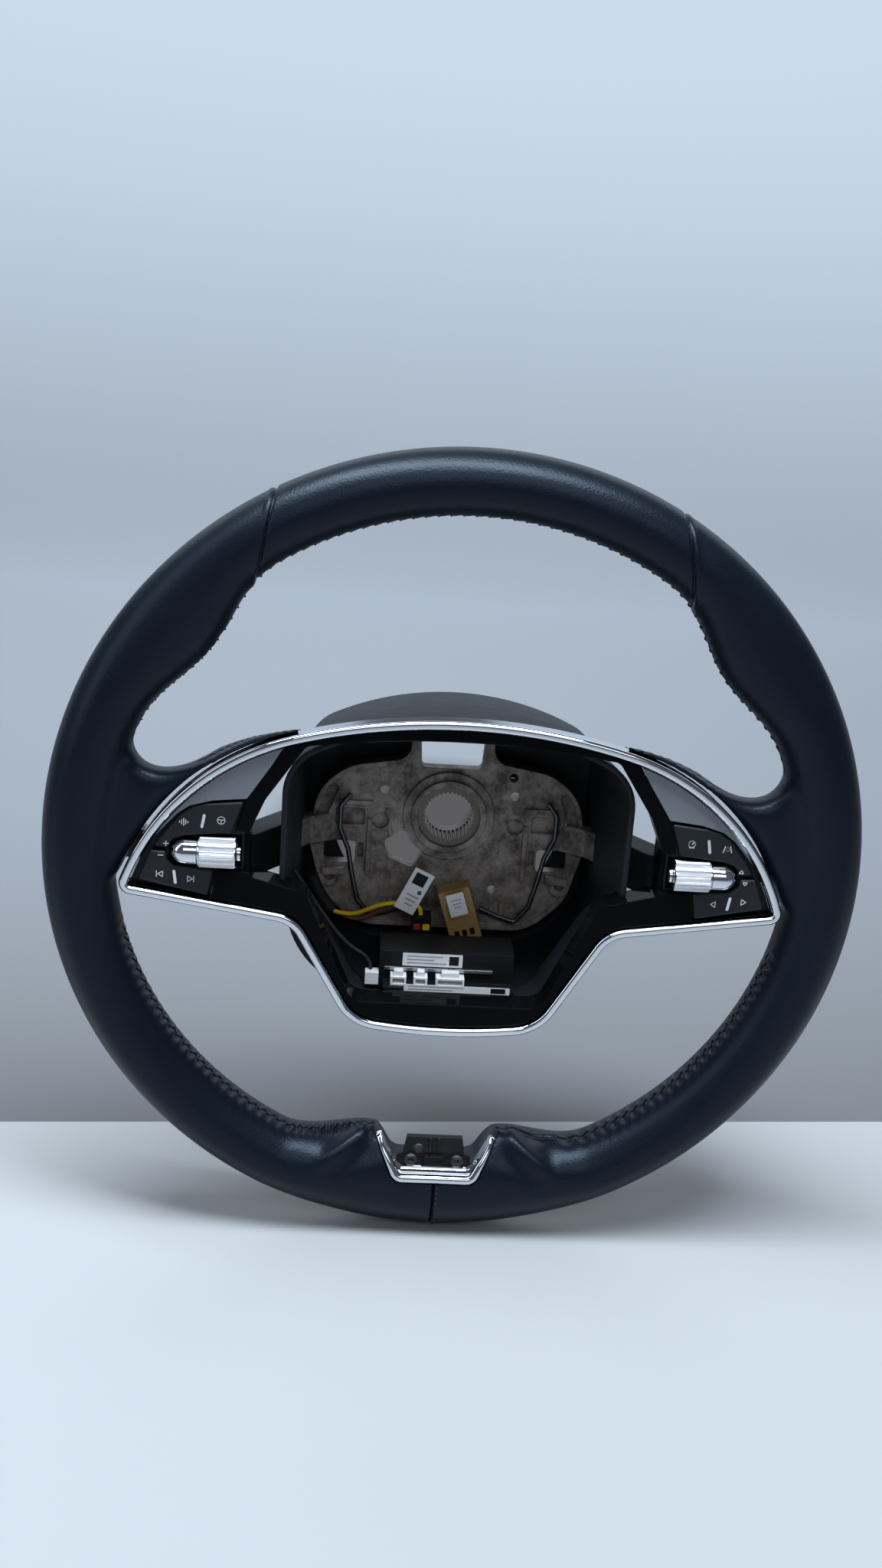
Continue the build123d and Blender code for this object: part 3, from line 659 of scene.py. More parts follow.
@dataclass
class Rim:
    """Leather grip: swept section, horns over the spokes, seams, puckers and stitches."""

    radius: float = 185.0
    top_inner: float = 156.2
    low_inner: float = 153.4
    top_depth: float = 16.5
    low_depth: float = 18.5
    thumb: tuple[float, float, float] = (39.5, 18.0, 9.6)
    lobe: tuple[float, float, float] = (-62.0, 16.0, 16.0)
    crease: tuple[float, float, float, float] = (53.0, -147.0, 33.5, -134.5)
    seam_deg: Pair = (53.0, 62.0)
    low_widen: Pair = (60.0, 40.0)
    low_deepen: Pair = (60.0, 50.0)
    horn_free: tuple[Pair, ...] = (
        (72.0, 60.9), (78.0, 59.8), (84.0, 58.3), (92.0, 55.5), (100.0, 51.4), (107.0, 47.2), (114.0, 42.8),
        (121.0, 39.2), (128.0, 37.0), (134.0, 36.6), (139.0, 37.8), (143.0, 41.0), (146.0, 46.0),
        (152.0, 52.0))
    horn_root: tuple[Pair, ...] = ((158.0, 49.0), (162.0, 10.0), (158.0, -12.0), (149.0, -12.0))
    horn_layers: tuple[Pair, ...] = (
        (-7.5, 3.6), (-6.6, 1.6), (-4.6, 0.5), (-2.0, 0.0), (5.0, 0.0), (8.6, 0.9), (10.3, 2.2), (11.0, 3.8))
    horn_gap: float = 1.0
    horn_thick: float = 7.0
    horn_swell: float = 42.0
    horn_drop: float = 0.32
    soft_out: Pair = (164.0, 10.0)
    soft_low: Pair = (-16.0, 8.0)
    soft_top: Pair = (58.0, 8.0)
    soft_in: Pair = (108.0, 14.0)
    soft_from: float = 0.02
    soft_share: float = 0.22
    soft_step: float = 0.6
    passes: tuple[int, int] = (8, 70)
    inner_groove: Bump = Bump(0.8, 0.0, 0.9)
    pucker: Bump = Bump(1.0, 2.0, 4.4)
    upper_welt: Bump = Bump(0.3, 1.7, 1.0)
    upper_groove: Bump = Bump(-1.1, 0.0, 0.6)
    low_welt: Bump = Bump(0.35, 1.9, 1.1)
    low_groove: Bump = Bump(-1.1, 0.0, 0.65)
    crease_ridge: Bump = Bump(2.2, 0.0, 2.8)
    crease_hollow: Bump = Bump(-1.3, 7.5, 4.0)
    crease_start: Pair = (-0.35, 0.6)
    crease_end: Pair = (1.25, 0.4)
    crease_front: Pair = (2.0, 6.0)
    inner_band: Pair = (9.0, 6.0)
    pucker_below: Pair = (-11.0, 6.0)
    pucker_above: Pair = (17.0, 5.0)
    pucker_depth: Pair = (0.32, 0.9)
    pucker_deepen: Pair = (5.0, 20.0)
    low_seam: Pair = (-150.0, 6.0)
    upper_seam: Pair = (100.0, 10.0)
    fine_inner: Pair = (4.5, 5.0)
    fine_upper: Pair = (95.0, 3.6)
    fine_low: Pair = (-140.0, 3.4)
    low_cut: Pair = (-130.0, 30.0)
    upper_cut: float = 90.0
    voxel: float = 1.05
    pitch: float = 5.4
    stitch_clear: tuple[float, float, float] = (34.0, -15.0, 22.0)
    stitch_sunk: Pair = (0.2, 0.5)
    stitch_length: Pair = (4.2, 2.2)
    low_stitches: tuple[int, float, float] = (10, -157.5, 2.7)
    low_section: Pair = (161.2, 23.8)
    thread_radius: float = 0.46
    thread_bow: Pair = (0.42, 0.25)
    thread_seed: int = 7
    stitch_lean: float = 0.1
    stitch_slant: Pair = (0.25, 0.4)
    low_stitch_side: float = 1.6
    low_stitch_sunk: float = 0.1
    low_stitch_slant: float = 0.45
    thread_finish: Plastic = Plastic("thread", (0.007, 0.008, 0.010), 0.6, grain=0.3, pitch=4000.0, edge=0.0)

    def inner(self, deg: np.ndarray) -> np.ndarray:
        """Inner radius at angles above the horizontal, the same on both sides.

        Args:
            deg: Angles from -90 to 90.

        Returns:
            Radii in millimetres.
        """
        base = self.top_inner + (self.low_inner - self.top_inner) * falling(deg, *self.low_widen)
        off = np.minimum(np.abs(deg - self.thumb[0]) / self.thumb[1], 1.0)
        rest = self.thumb[2] * (1 + np.cos(math.pi * off)) / 2
        return base - rest - self.lobe[2] * falling(deg, *self.lobe[:2])

    def depth(self, deg: np.ndarray) -> np.ndarray:
        """Half depth of the section at angles above the horizontal."""
        return self.top_depth + (self.low_depth - self.top_depth) * falling(deg, *self.low_deepen)

    def folded(self, x: np.ndarray, z: np.ndarray) -> np.ndarray:
        """Angle above the horizontal in degrees, with the left side folded onto the right."""
        return np.degrees(np.arctan2(z, np.abs(x)))

    def ring(self, turns: int = 720, around: int = 72) -> tuple[np.ndarray, list]:
        """Swept grip.

        Args:
            turns: Sections round the rim.
            around: Points in a section.

        Returns:
            Points and faces.
        """
        t = np.linspace(0, 2 * math.pi, turns, endpoint=False)
        p = np.linspace(0, 2 * math.pi, around, endpoint=False)
        deg = np.degrees(np.arcsin(np.clip(np.sin(t), -1, 1)))
        inner = self.inner(deg)
        half, mid = (self.radius - inner) / 2, (self.radius + inner) / 2
        rho = mid[:, None] + half[:, None] * np.cos(p)[None, :]
        y = self.depth(deg)[:, None] * np.sin(p)[None, :]
        pts = np.stack([rho * np.cos(t)[:, None], RIM_Y + y, rho * np.sin(t)[:, None]], -1).reshape(-1, 3)
        return pts, grid_faces(turns, around, True, True)

    def horn(self, side: int) -> tuple[np.ndarray, list]:
        """Horn of leather that springs from the grip along the frame's upper edge.

        Args:
            side: 1 for the right, -1 for the left.

        Returns:
            Points and faces.
        """
        front, tip = self.horn_layers[0][0], self.horn_free[0][0]
        edge = Frame().upper(self.horn_gap)
        lean = np.array(self.horn_free)
        tangent = np.gradient(lean, axis=0)
        normal = np.stack([tangent[:, 1], -tangent[:, 0]], -1)
        normal /= np.linalg.norm(normal, axis=1)[:, None]
        back = [tuple(p) for p in edge if p[0] > tip and p[1] > self.horn_root[-1][1]][::-1]
        thick = lean[:, 1] - np.interp(lean[:, 0], edge[:, 0], edge[:, 1])
        fade = np.clip(thick / self.horn_thick, 0.0, 1.0)
        fade[-2:] = 0.0
        layers = []
        for y, inset in self.horn_layers:
            row = [tuple(p) for p in lean + normal * (inset * fade)[:, None]] + list(self.horn_root) + back
            taper = [float(rising(x, tip, self.horn_swell)) for x, _ in row]
            depth = [front + (y - front) * (0.5 + 0.5 * t) for t in taper]
            layers.append([(side * x, RIM_Y + d, z - self.horn_drop * (d - front) * (1 - t))
                           for (x, z), d, t in zip(row, depth, taper)])
        return np.array(layers).reshape(-1, 3), tube_faces(len(layers), len(layers[0]))

    def solid(self) -> bpy.types.Mesh:
        """Grip and horns merged into one even mesh.

        Returns:
            The mesh, in metres.
        """
        pts, faces = self.ring()
        for side in (1, -1):
            more, extra = self.horn(side)
            faces = list(faces) + [tuple(i + len(pts) for i in f) for f in extra]
            pts = np.vstack([pts, more])
        mesh = smooth_mesh("rim_raw", pts, faces)
        work = place("rim_raw", mesh)
        face_out(mesh)
        merge = work.modifiers.new("merge", "REMESH")
        merge.mode = "VOXEL"
        merge.voxel_size = self.voxel * MM
        done = applied(work)
        bpy.data.objects.remove(work)
        return done

    def relax(self, mesh: bpy.types.Mesh) -> np.ndarray:
        """Soften the mesh, most of all where the horns leave the grip.

        Args:
            mesh: Mesh in metres.

        Returns:
            Points in millimetres.
        """
        pts = vectors(mesh, "co") / MM
        ends = np.empty(len(mesh.edges) * 2, dtype=np.int64)
        mesh.edges.foreach_get("vertices", ends)
        a, b = ends.reshape(-1, 2).T
        count = np.bincount(np.concatenate([a, b]), minlength=len(pts))[:, None]
        x, z = np.abs(pts[:, 0]), pts[:, 2]
        rho = np.hypot(x, z)
        near = falling(rho, *self.soft_out) * rising(z, *self.soft_low)
        near = near * falling(z, *self.soft_top) * rising(x, *self.soft_in)
        weight = (self.soft_share + (1 - self.soft_share) * near)[:, None]
        calm = (near > self.soft_from)[:, None]
        for step in range(self.passes[1]):
            total = np.zeros_like(pts)
            for k in range(3):
                total[:, k] = np.bincount(a, pts[b, k], len(pts)) + np.bincount(b, pts[a, k], len(pts))
            share = weight if step < self.passes[0] else weight * calm
            pts = pts + share * self.soft_step * (total / count - pts)
        return pts

    def seams(self, pts: np.ndarray, normals: np.ndarray) -> np.ndarray:
        """Press the seams and their puckers into the leather.

        Args:
            pts: Points in millimetres.
            normals: Point normals.

        Returns:
            Moved points.
        """
        x, y, z = pts[:, 0], pts[:, 1] - RIM_Y, pts[:, 2]
        rho, deg = np.hypot(x, z), self.folded(x, z)
        inner = self.inner(deg)
        inside = falling(rho, inner + self.inner_band[0], self.inner_band[1])
        arc = np.arctan2(z, x) * inner
        wave = 0.5 + 0.5 * np.cos(2 * math.pi * arc / self.pitch)
        clear = np.maximum(falling(deg, *self.pucker_below), rising(deg, *self.pucker_above))
        depth = self.pucker_depth[0] + self.pucker_depth[1] * falling(deg, *self.pucker_deepen)
        move = -inside * clear * (self.inner_groove.over(y) + depth * wave * self.pucker.over(np.abs(y)))
        gap, high = self.seam_gap(x, z)
        move += high * (self.upper_welt.over(gap) + self.upper_groove.over(gap))
        low = falling(z, *self.low_seam)
        move += low * (self.low_welt.over(np.abs(x)) + self.low_groove.over(x))
        x0, z0, x1, z1 = self.crease
        run = np.hypot(x1 - x0, z1 - z0)
        share = ((np.abs(x) - x0) * (x1 - x0) + (z - z0) * (z1 - z0)) / run ** 2
        off = ((np.abs(x) - x0) * (z1 - z0) - (z - z0) * (x1 - x0)) / run
        ends = rising(share, *self.crease_start) * falling(share, *self.crease_end)
        ends = ends * falling(y, *self.crease_front)
        move += ends * (self.crease_ridge.over(off) + self.crease_hollow.over(np.abs(off)))
        return pts + normals * move[:, None]

    def seam_line(self) -> tuple[np.ndarray, np.ndarray]:
        """Ends of the right-hand upper seam.

        Returns:
            Inner and outer end, as x and z.
        """
        turn_in, turn_out = (math.radians(d) for d in self.seam_deg)
        inner = float(self.inner(np.array([self.seam_deg[0]]))[0])
        return (np.array([inner * math.cos(turn_in), inner * math.sin(turn_in)]),
                np.array([self.radius * math.cos(turn_out), self.radius * math.sin(turn_out)]))

    def seam_gap(self, x: np.ndarray, z: np.ndarray) -> tuple[np.ndarray, np.ndarray]:
        """Signed distance to the upper seams, positive on the side pieces.

        Args:
            x: Points' x in millimetres.
            z: Points' z in millimetres.

        Returns:
            Distances, and 1 where the upper seams are.
        """
        start, end = self.seam_line()
        run = (end - start) / np.linalg.norm(end - start)
        gap = (np.abs(x) - start[0]) * run[1] - (z - start[1]) * run[0]
        return gap, rising(z, *self.upper_seam)

    def build(self, kit: Kit) -> None:
        """Make the three leather pieces and their thread.

        Args:
            kit: Frame and materials.
        """
        mesh = self.refine(self.solid())
        pts = self.seams(vectors(mesh, "co") / MM, vectors(mesh, "normal"))
        mesh.vertices.foreach_set("co", (pts * MM).ravel())
        mesh.update()
        whole = bmesh.new()
        whole.from_mesh(Notch().open_up(mesh))
        self.part_at_seams(whole)
        for name, test in (("top", lambda x, z: self.seam_gap(x, z)[0] < 0 and z > self.upper_cut),
                           ("right", lambda x, z: x > 0), ("left", lambda x, z: True)):
            piece = self.take(whole, test)
            piece.shade_smooth()
            kit.add(f"leather_{name}", piece, "leather", Body.WHEEL.of(), stands_for=[f"rim_grip_{name}"])
        whole.free()
        self.thread(kit)

    def refine(self, mesh: bpy.types.Mesh) -> bpy.types.Mesh:
        """Soften the mesh and give it finer faces along the seams.

        Args:
            mesh: Even mesh, in metres.

        Returns:
            The same mesh.
        """
        mesh.vertices.foreach_set("co", (self.relax(mesh) * MM).ravel())
        bm = bmesh.new()
        bm.from_mesh(mesh)
        chosen = set()
        for face in bm.faces:
            x, y, z = (c / MM for c in face.calc_center_median())
            deg = math.degrees(math.atan2(z, abs(x)))
            reach = self.inner(np.float64(deg)) + self.fine_inner[1]
            inside = abs(y - RIM_Y) < self.fine_inner[0] and math.hypot(x, z) < reach
            gap = abs(self.seam_gap(np.float64(x), np.float64(z))[0])
            upper = z > self.fine_upper[0] and gap < self.fine_upper[1]
            if inside or upper or (z < self.fine_low[0] and abs(x) < self.fine_low[1]):
                chosen.update(face.edges)
        bmesh.ops.subdivide_edges(bm, edges=list(chosen), cuts=1, use_grid_fill=True)
        bm.to_mesh(mesh)
        bm.free()
        mesh.update()
        return mesh

    def part_at_seams(self, bm: bmesh.types.BMesh) -> None:
        """Split faces along the two upper seams and the low seam.

        Args:
            bm: Mesh to split, in metres.
        """
        start, end = self.seam_line()
        low, half, high = (v * MM for v in (*self.low_cut, self.upper_cut))
        cuts = [((0.0, 0.0, 0.0), Vector((1, 0, 0)), lambda c: c.z < low and abs(c.x) < half)]
        for side in (1, -1):
            normal = Vector((side * (end[1] - start[1]), 0, -(end[0] - start[0])))
            cuts.append(((side * start[0] * MM, 0.0, start[1] * MM), normal,
                         lambda c, side=side: c.z > high and c.x * side > 0))
        for point, normal, test in cuts:
            faces = [f for f in bm.faces if test(f.calc_center_median())]
            edges, corners = {e for f in faces for e in f.edges}, {v for f in faces for v in f.verts}
            geom = faces + list(edges) + list(corners)
            bmesh.ops.bisect_plane(bm, geom=geom, plane_co=point, plane_no=normal)

    @staticmethod
    def take(bm: bmesh.types.BMesh, test: Callable[[float, float], bool]) -> bpy.types.Mesh:
        """Move the faces that pass a test into a mesh of their own.

        Args:
            bm: Mesh to take from.
            test: Function of a face centre's x and z in millimetres.

        Returns:
            The new mesh.
        """
        chosen = [f for f in bm.faces if test(f.calc_center_median().x / MM, f.calc_center_median().z / MM)]
        index: dict[bmesh.types.BMVert, int] = {}
        faces = [[index.setdefault(v, len(index)) for v in f.verts] for f in chosen]
        mesh = bpy.data.meshes.new("leather")
        mesh.from_pydata([v.co[:] for v in index], [], faces)
        bmesh.ops.delete(bm, geom=chosen, context="FACES_ONLY")
        closed = bmesh.new()
        closed.from_mesh(mesh)
        bmesh.ops.holes_fill(closed, edges=[e for e in closed.edges if e.is_boundary])
        closed.to_mesh(mesh)
        closed.free()
        return mesh

    def thread(self, kit: Kit) -> None:
        """Stitches along the inner seam and the low seam.

        Args:
            kit: Frame and materials.
        """
        rng = random.Random(self.thread_seed)
        bm = bmesh.new()
        deg = -180.0
        gap, below, above = self.stitch_clear
        while deg < 180.0:
            turn = math.radians(deg)
            fold = math.degrees(math.asin(math.sin(turn)))
            inner = float(self.inner(np.array([fold]))[0])
            open_gap = abs(math.cos(turn)) * inner < gap and fold < 0
            if not open_gap and (fold < below or fold > above):
                at = Vector((inner * math.cos(turn), RIM_Y, inner * math.sin(turn))) * MM
                out = Vector((-math.cos(turn), 0, -math.sin(turn)))
                lean = rng.uniform(-self.stitch_lean, self.stitch_lean)
                along = Vector((-math.sin(turn), lean, math.cos(turn)))
                sunk = self.stitch_sunk[0 if fold < 0 else 1] * MM
                slant = Vector((0, 1, 0)) + along * rng.uniform(*self.stitch_slant)
                self.stitch(bm, at - out * sunk, slant, out, self.stitch_length[0] * MM)
            deg += math.degrees(self.pitch / inner)
        count, start, step = self.low_stitches
        mid, half = self.low_section
        for i in range(count):
            z = start - i * step
            y = -self.low_depth * math.sqrt(max(0.0, 1 - ((-z - mid) / half) ** 2))
            out = Vector((0, y / self.low_depth ** 2, (z + mid) / half ** 2)).normalized()
            at = Vector((self.low_stitch_side * MM, (RIM_Y + y) * MM, z * MM))
            slant = Vector((self.low_stitch_slant, 0, 1))
            self.stitch(bm, at - out * (self.low_stitch_sunk * MM), slant, out, self.stitch_length[1] * MM)
        mesh = bpy.data.meshes.new("leather_thread")
        bm.to_mesh(mesh)
        bm.free()
        mesh.shade_smooth()
        kit.add("leather_thread", mesh, "leather", Body.WHEEL.of(), kit.shop.other(self.thread_finish))

    def stitch(self, bm: bmesh.types.BMesh, at: Vector, along: Vector, out: Vector, length: float) -> None:
        """One stitch: a short bowed capsule.

        Args:
            bm: Mesh to add to.
            at: Middle of the stitch, in metres.
            along: Direction of the stitch.
            out: Direction away from the leather.
            length: Length of the stitch.
        """
        along = along.normalized()
        across = along.cross(out).normalized()
        rise, dip = (v * MM for v in self.thread_bow)
        rows = []
        for i in range(7):
            t = i / 6 * 2 - 1
            centre = at + along * (t * length / 2) + out * (rise * (1 - t * t) - dip * abs(t) ** 3)
            r = self.thread_radius * MM * math.sqrt(max(0.05, 1 - t ** 4))
            rows.append([bm.verts.new(centre + (across * math.cos(q) + out * math.sin(q)) * r)
                         for q in (k * math.pi / 3 for k in range(6))])
        for low, high in zip(rows, rows[1:]):
            for j in range(6):
                bm.faces.new((low[j], low[(j + 1) % 6], high[(j + 1) % 6], high[j]))
        bm.faces.new(rows[0][::-1])
        bm.faces.new(rows[-1])


@dataclass
class Notch:
    """Gap in the low spoke, lined by the bright U."""

    top: Pair = (36.2, -120.0)
    foot: Pair = (19.5, -156.0)
    corner: float = 7.0
    reach: float = 40.0

    def outline(self, steps: int = 8) -> list[Pair]:
        """Right half of the gap's outline from the top to the middle.

        Args:
            steps: Points on the rounded corner.

        Returns:
            Rows of x and z.
        """
        (x0, z0), (x1, z1) = self.top, self.foot
        lean = math.atan2(-(x0 - x1), z0 - z1)
        half = (math.pi / 2 + lean) / 2
        centre = (x1 - self.corner * math.tan(half), z1 + self.corner)
        turns = [lean + (-math.pi / 2 - lean) * i / steps for i in range(steps + 1)]
        return [self.top] + [(centre[0] + self.corner * math.cos(t), centre[1] + self.corner * math.sin(t))
                             for t in turns]

    def open_up(self, mesh: bpy.types.Mesh) -> bpy.types.Mesh:
        """Cut the gap out of the leather.

        Args:
            mesh: Closed mesh, in metres.

        Returns:
            A new mesh with the gap.
        """
        right = self.outline()
        row = right + [(-x, z) for x, z in reversed(right)]
        pts = np.array([(x, RIM_Y + y, z) for y in (-self.reach, self.reach) for x, z in row])
        gap = smooth_mesh("gap", pts, tube_faces(2, len(row)), False)
        face_out(gap)
        made = [place("gap", gap), place("leather", mesh)]
        cut = made[1].modifiers.new("gap", "BOOLEAN")
        cut.operation = "DIFFERENCE"
        cut.solver = "MANIFOLD"
        cut.object = made[0]
        done = applied(made[1])
        for obj in made:
            bpy.data.objects.remove(obj)
        return done


@dataclass
class LowTrim:
    """Bright U in the gap of the low spoke: a round lip, a wall and an inner ledge."""

    top: float = -136.5
    back: float = -5.0
    fit: float = 0.25
    wall: float = 2.8
    lip: Pair = (2.6, 4.4)
    ledge: float = 3.0
    proud: float = 0.8
    nose: float = 2.2
    lip_grow: Pair = (1.5, 14.0)
    ledge_grow: Pair = (-146.0, 7.0)
    step_depths: tuple[float, ...] = (4.6, 6.2, 6.8, 8.0, 8.6)
    full_depth: float = 10.5
    sharp_deg: float = 40.0
    corner_steps: int = 12
    nose_steps: int = 12
    half_points: int = 49

    def path(self) -> np.ndarray:
        """Even points along the gap's outline, from the left end to the right one.

        Returns:
            Rows of x and z.
        """
        right = np.array(Notch().outline(self.corner_steps) + [(0.0, Notch().foot[1])])
        share = (right[0, 1] - self.top) / (right[0, 1] - right[1, 1])
        right[0] += share * (right[1] - right[0])
        run = np.concatenate([[0.0], np.cumsum(np.hypot(*np.diff(right, axis=0).T))])
        even = np.linspace(0.0, run[-1], self.half_points)
        half = np.stack([np.interp(even, run, right[:, k]) for k in (0, 1)], -1)
        return np.vstack([half * (-1, 1), half[-2::-1]])

    def section(self, x: float, z: float) -> list[Pair]:
        """Closed section at a place on the path.

        Args:
            x: Place's x in millimetres.
            z: Place's z in millimetres.

        Returns:
            Distances in from the outline, and depths.
        """
        rim = Rim()
        deg, rho = rim.folded(np.float64(x), np.float64(z)), math.hypot(x, z)
        inner = float(rim.inner(deg))
        off = (2 * rho - rim.radius - inner) / (rim.radius - inner)
        front = -float(rim.depth(deg)) * math.sqrt(max(0.0, 1 - off * off)) - self.proud
        low = float(falling(z, self.top - self.lip_grow[0], self.lip_grow[1]))
        wide = self.lip[0] + (self.lip[1] - self.lip[0]) * low
        ledge = self.wall + self.ledge * float(falling(z, *self.ledge_grow))
        squeeze = min(1.0, (self.back - front) / self.full_depth)
        turns = [math.pi * k / self.nose_steps for k in range(self.nose_steps + 1)]
        row = [(wide / 2 * (1 - math.cos(t)), self.nose * (1 - math.sin(t))) for t in turns]
        row += zip((self.wall, self.wall, ledge, ledge, self.wall), self.step_depths)
        points = [(self.fit + n, front + d * squeeze) for n, d in row]
        return points + [(self.fit + self.wall, self.back), (self.fit, self.back)]

    def build(self, kit: Kit) -> None:
        """Sweep the section along the gap.

        Args:
            kit: Frame and materials.
        """
        path = self.path()
        along = np.gradient(path, axis=0)
        into = np.stack([-along[:, 1], along[:, 0]], -1) / np.hypot(*along.T)[:, None]
        rows = [[(x + n * u, RIM_Y + y, z + n * v) for n, y in self.section(x, z)]
                for (x, z), (u, v) in zip(path, into)]
        mesh = smooth_mesh("low_trim_u", np.array(rows).reshape(-1, 3), tube_faces(len(rows), len(rows[0])))
        face_out(mesh)
        mesh.set_sharp_from_angle(angle=math.radians(self.sharp_deg))
        kit.add("low_trim_u", mesh, "chrome", Body.WHEEL.of(), stands_for=["lower_trim"])


@dataclass
class Frame:
    """Outline of the chrome frame, as in the solids."""

    top: float = 68.5
    top_r: float = 273.0
    shoulder_x: float = 75.0
    tip: Pair = (151.4, -18.2)

    def upper(self, grow: float, count: int = 60) -> np.ndarray:
        """Right-hand upper edge from the middle to the tip.

        Args:
            grow: Distance outside the outline.
            count: Points on each arc.

        Returns:
            Rows of x and z.
        """
        low = self.top - self.top_r
        lean = math.asin(self.shoulder_x / self.top_r)
        out = np.array([math.sin(lean), math.cos(lean)])
        shoulder = np.array([0.0, low]) + out * self.top_r
        chord = np.array(self.tip) - shoulder
        r2 = -chord @ chord / (2 * chord @ out)
        centre = shoulder - out * r2
        stop = math.atan2(self.tip[0] - centre[0], self.tip[1] - centre[1])
        first = [(np.sin(a) * (self.top_r + grow), low + np.cos(a) * (self.top_r + grow))
                 for a in np.linspace(0, lean, count)]
        second = [(centre[0] + np.sin(a) * (r2 + grow), centre[1] + np.cos(a) * (r2 + grow))
                  for a in np.linspace(lean, stop, count)]
        return np.array(first + second[1:])


class Prints:
    """Collects small slabs and strokes into one mesh."""

    def __init__(self) -> None:
        """Start an empty mesh."""
        self.bm = bmesh.new()

    def slab(self, outline: Sequence[Pair], front: float, back: float) -> None:
        """Add a prism that faces the front.

        Args:
            outline: Corners as x and z, in millimetres.
            front: Depth of its front face.
            back: Depth of its back face.
        """
        near, far = ([self.bm.verts.new((x * MM, y * MM, z * MM)) for x, z in outline] for y in (front, back))
        self.bm.faces.new(near)
        self.bm.faces.new(far[::-1])
        for i in range(len(near)):
            k = (i + 1) % len(near)
            self.bm.faces.new((near[i], far[i], far[k], near[k]))

    def block(self, at: Pair, size: Pair, front: float, back: float,
              turn: float = 0.0, corner: float = 0.0) -> None:
        """Add a rectangle, turned about the depth axis.

        Args:
            at: Its middle.
            size: Its width and height.
            front: Depth of its front face.
            back: Depth of its back face.
            turn: Turn in degrees, clockwise seen from the front.
            corner: Radius of its corners.
        """
        c, n = math.cos(math.radians(turn)), math.sin(math.radians(turn))
        w, h = size[0] / 2 - corner, size[1] / 2 - corner
        row = []
        for q, (sx, sz) in enumerate(((1, 1), (-1, 1), (-1, -1), (1, -1))):
            for step in range(5 if corner else 1):
                angle = math.pi / 2 * (q + step / 4)
                x, z = sx * w + corner * math.cos(angle), sz * h + corner * math.sin(angle)
                row.append((at[0] + x * c + z * n, at[1] - x * n + z * c))
        self.slab(row, front, back)

    def stroke(self, line: Sequence[Pair], width: float, front: float, back: float) -> None:
        """Add a drawn line.

        Args:
            line: Its points as x and z.
            width: Its width.
            front: Depth of its front face.
            back: Depth of its back face.
        """
        for (x0, z0), (x1, z1) in zip(line, line[1:]):
            run = math.hypot(x1 - x0, z1 - z0)
            turn = -math.degrees(math.atan2(z1 - z0, x1 - x0))
            self.block(((x0 + x1) / 2, (z0 + z1) / 2), (run + width * 0.8, width), front, back, turn)

    def disc(self, at: Pair, radius: float, front: float, back: float) -> None:
        """Add a round dot.

        Args:
            at: Its middle.
            radius: Its radius.
            front: Depth of its front face.
            back: Depth of its back face.
        """
        turns = [k * math.pi / 12 for k in range(24)]
        self.slab([(at[0] + radius * math.cos(t), at[1] + radius * math.sin(t)) for t in turns], front, back)

    def mesh(self, name: str) -> bpy.types.Mesh:
        """Close the collection.

        Args:
            name: Name of the mesh.

        Returns:
            The mesh, in metres.
        """
        bmesh.ops.recalc_face_normals(self.bm, faces=self.bm.faces)
        done = bpy.data.meshes.new(name)
        self.bm.to_mesh(done)
        self.bm.free()
        return done


def arc(at: Pair, radius: float, start: float, end: float, steps: int = 16) -> list[Pair]:
    """Points on an arc.

    Args:
        at: Its middle.
        radius: Its radius.
        start: First angle in degrees.
        end: Last angle in degrees.
        steps: Number of stretches.

    Returns:
        Rows of x and z.
    """
    turns = [math.radians(start + (end - start) * k / steps) for k in range(steps + 1)]
    return [(at[0] + radius * math.cos(t), at[1] + radius * math.sin(t)) for t in turns]


class Mark(Enum):
    """Plain signs on the keys, as strokes round their middle in millimetres."""

    WAVE = tuple(((x, -h), (x, h)) for x, h in ((-2.4, 0.5), (-1.2, 1.4), (0.0, 2.2), (1.2, 1.4), (2.4, 0.5)))
    WARM = (tuple(arc((0.0, 0.0), 2.3, 0, 360)), ((-2.2, 0.3), (2.2, 0.3)), ((0.0, 0.3), (0.0, -2.2)))
    PLUS = (((-2.0, 0.0), (2.0, 0.0)), ((0.0, -2.0), (0.0, 2.0)))
    MINUS = (((-2.0, 0.0), (2.0, 0.0)),)
    BACK = (((-1.9, -1.8), (-1.9, 1.8)), ((1.8, -1.8), (1.8, 1.8), (-1.2, 0.0), (1.8, -1.8)))
    NEXT = (((1.9, -1.8), (1.9, 1.8)), ((-1.8, -1.8), (-1.8, 1.8), (1.2, 0.0), (-1.8, -1.8)))
    DIAL = (tuple(arc((0.0, 0.3), 2.0, -50, 230)), ((0.0, 0.3), (1.1, 1.4)), ((-1.4, -2.0), (1.4, -2.0)))
    AID = (tuple(arc((0.0, 0.0), 1.1, 0, 360)), ((-2.6, -2.0), (-1.5, 2.0)), ((2.6, -2.0), (1.5, 2.0)))
    UP = (((-1.9, -1.2), (1.9, -1.2), (0.0, 1.6), (-1.9, -1.2)),)
    DOWN = (((-1.9, 1.2), (1.9, 1.2), (0.0, -1.6), (-1.9, 1.2)),)
    LEFT = (((1.3, -1.9), (1.3, 1.9), (-1.6, 0.0), (1.3, -1.9)),)
    RIGHT = (((-1.3, -1.9), (-1.3, 1.9), (1.6, 0.0), (-1.3, -1.9)),)


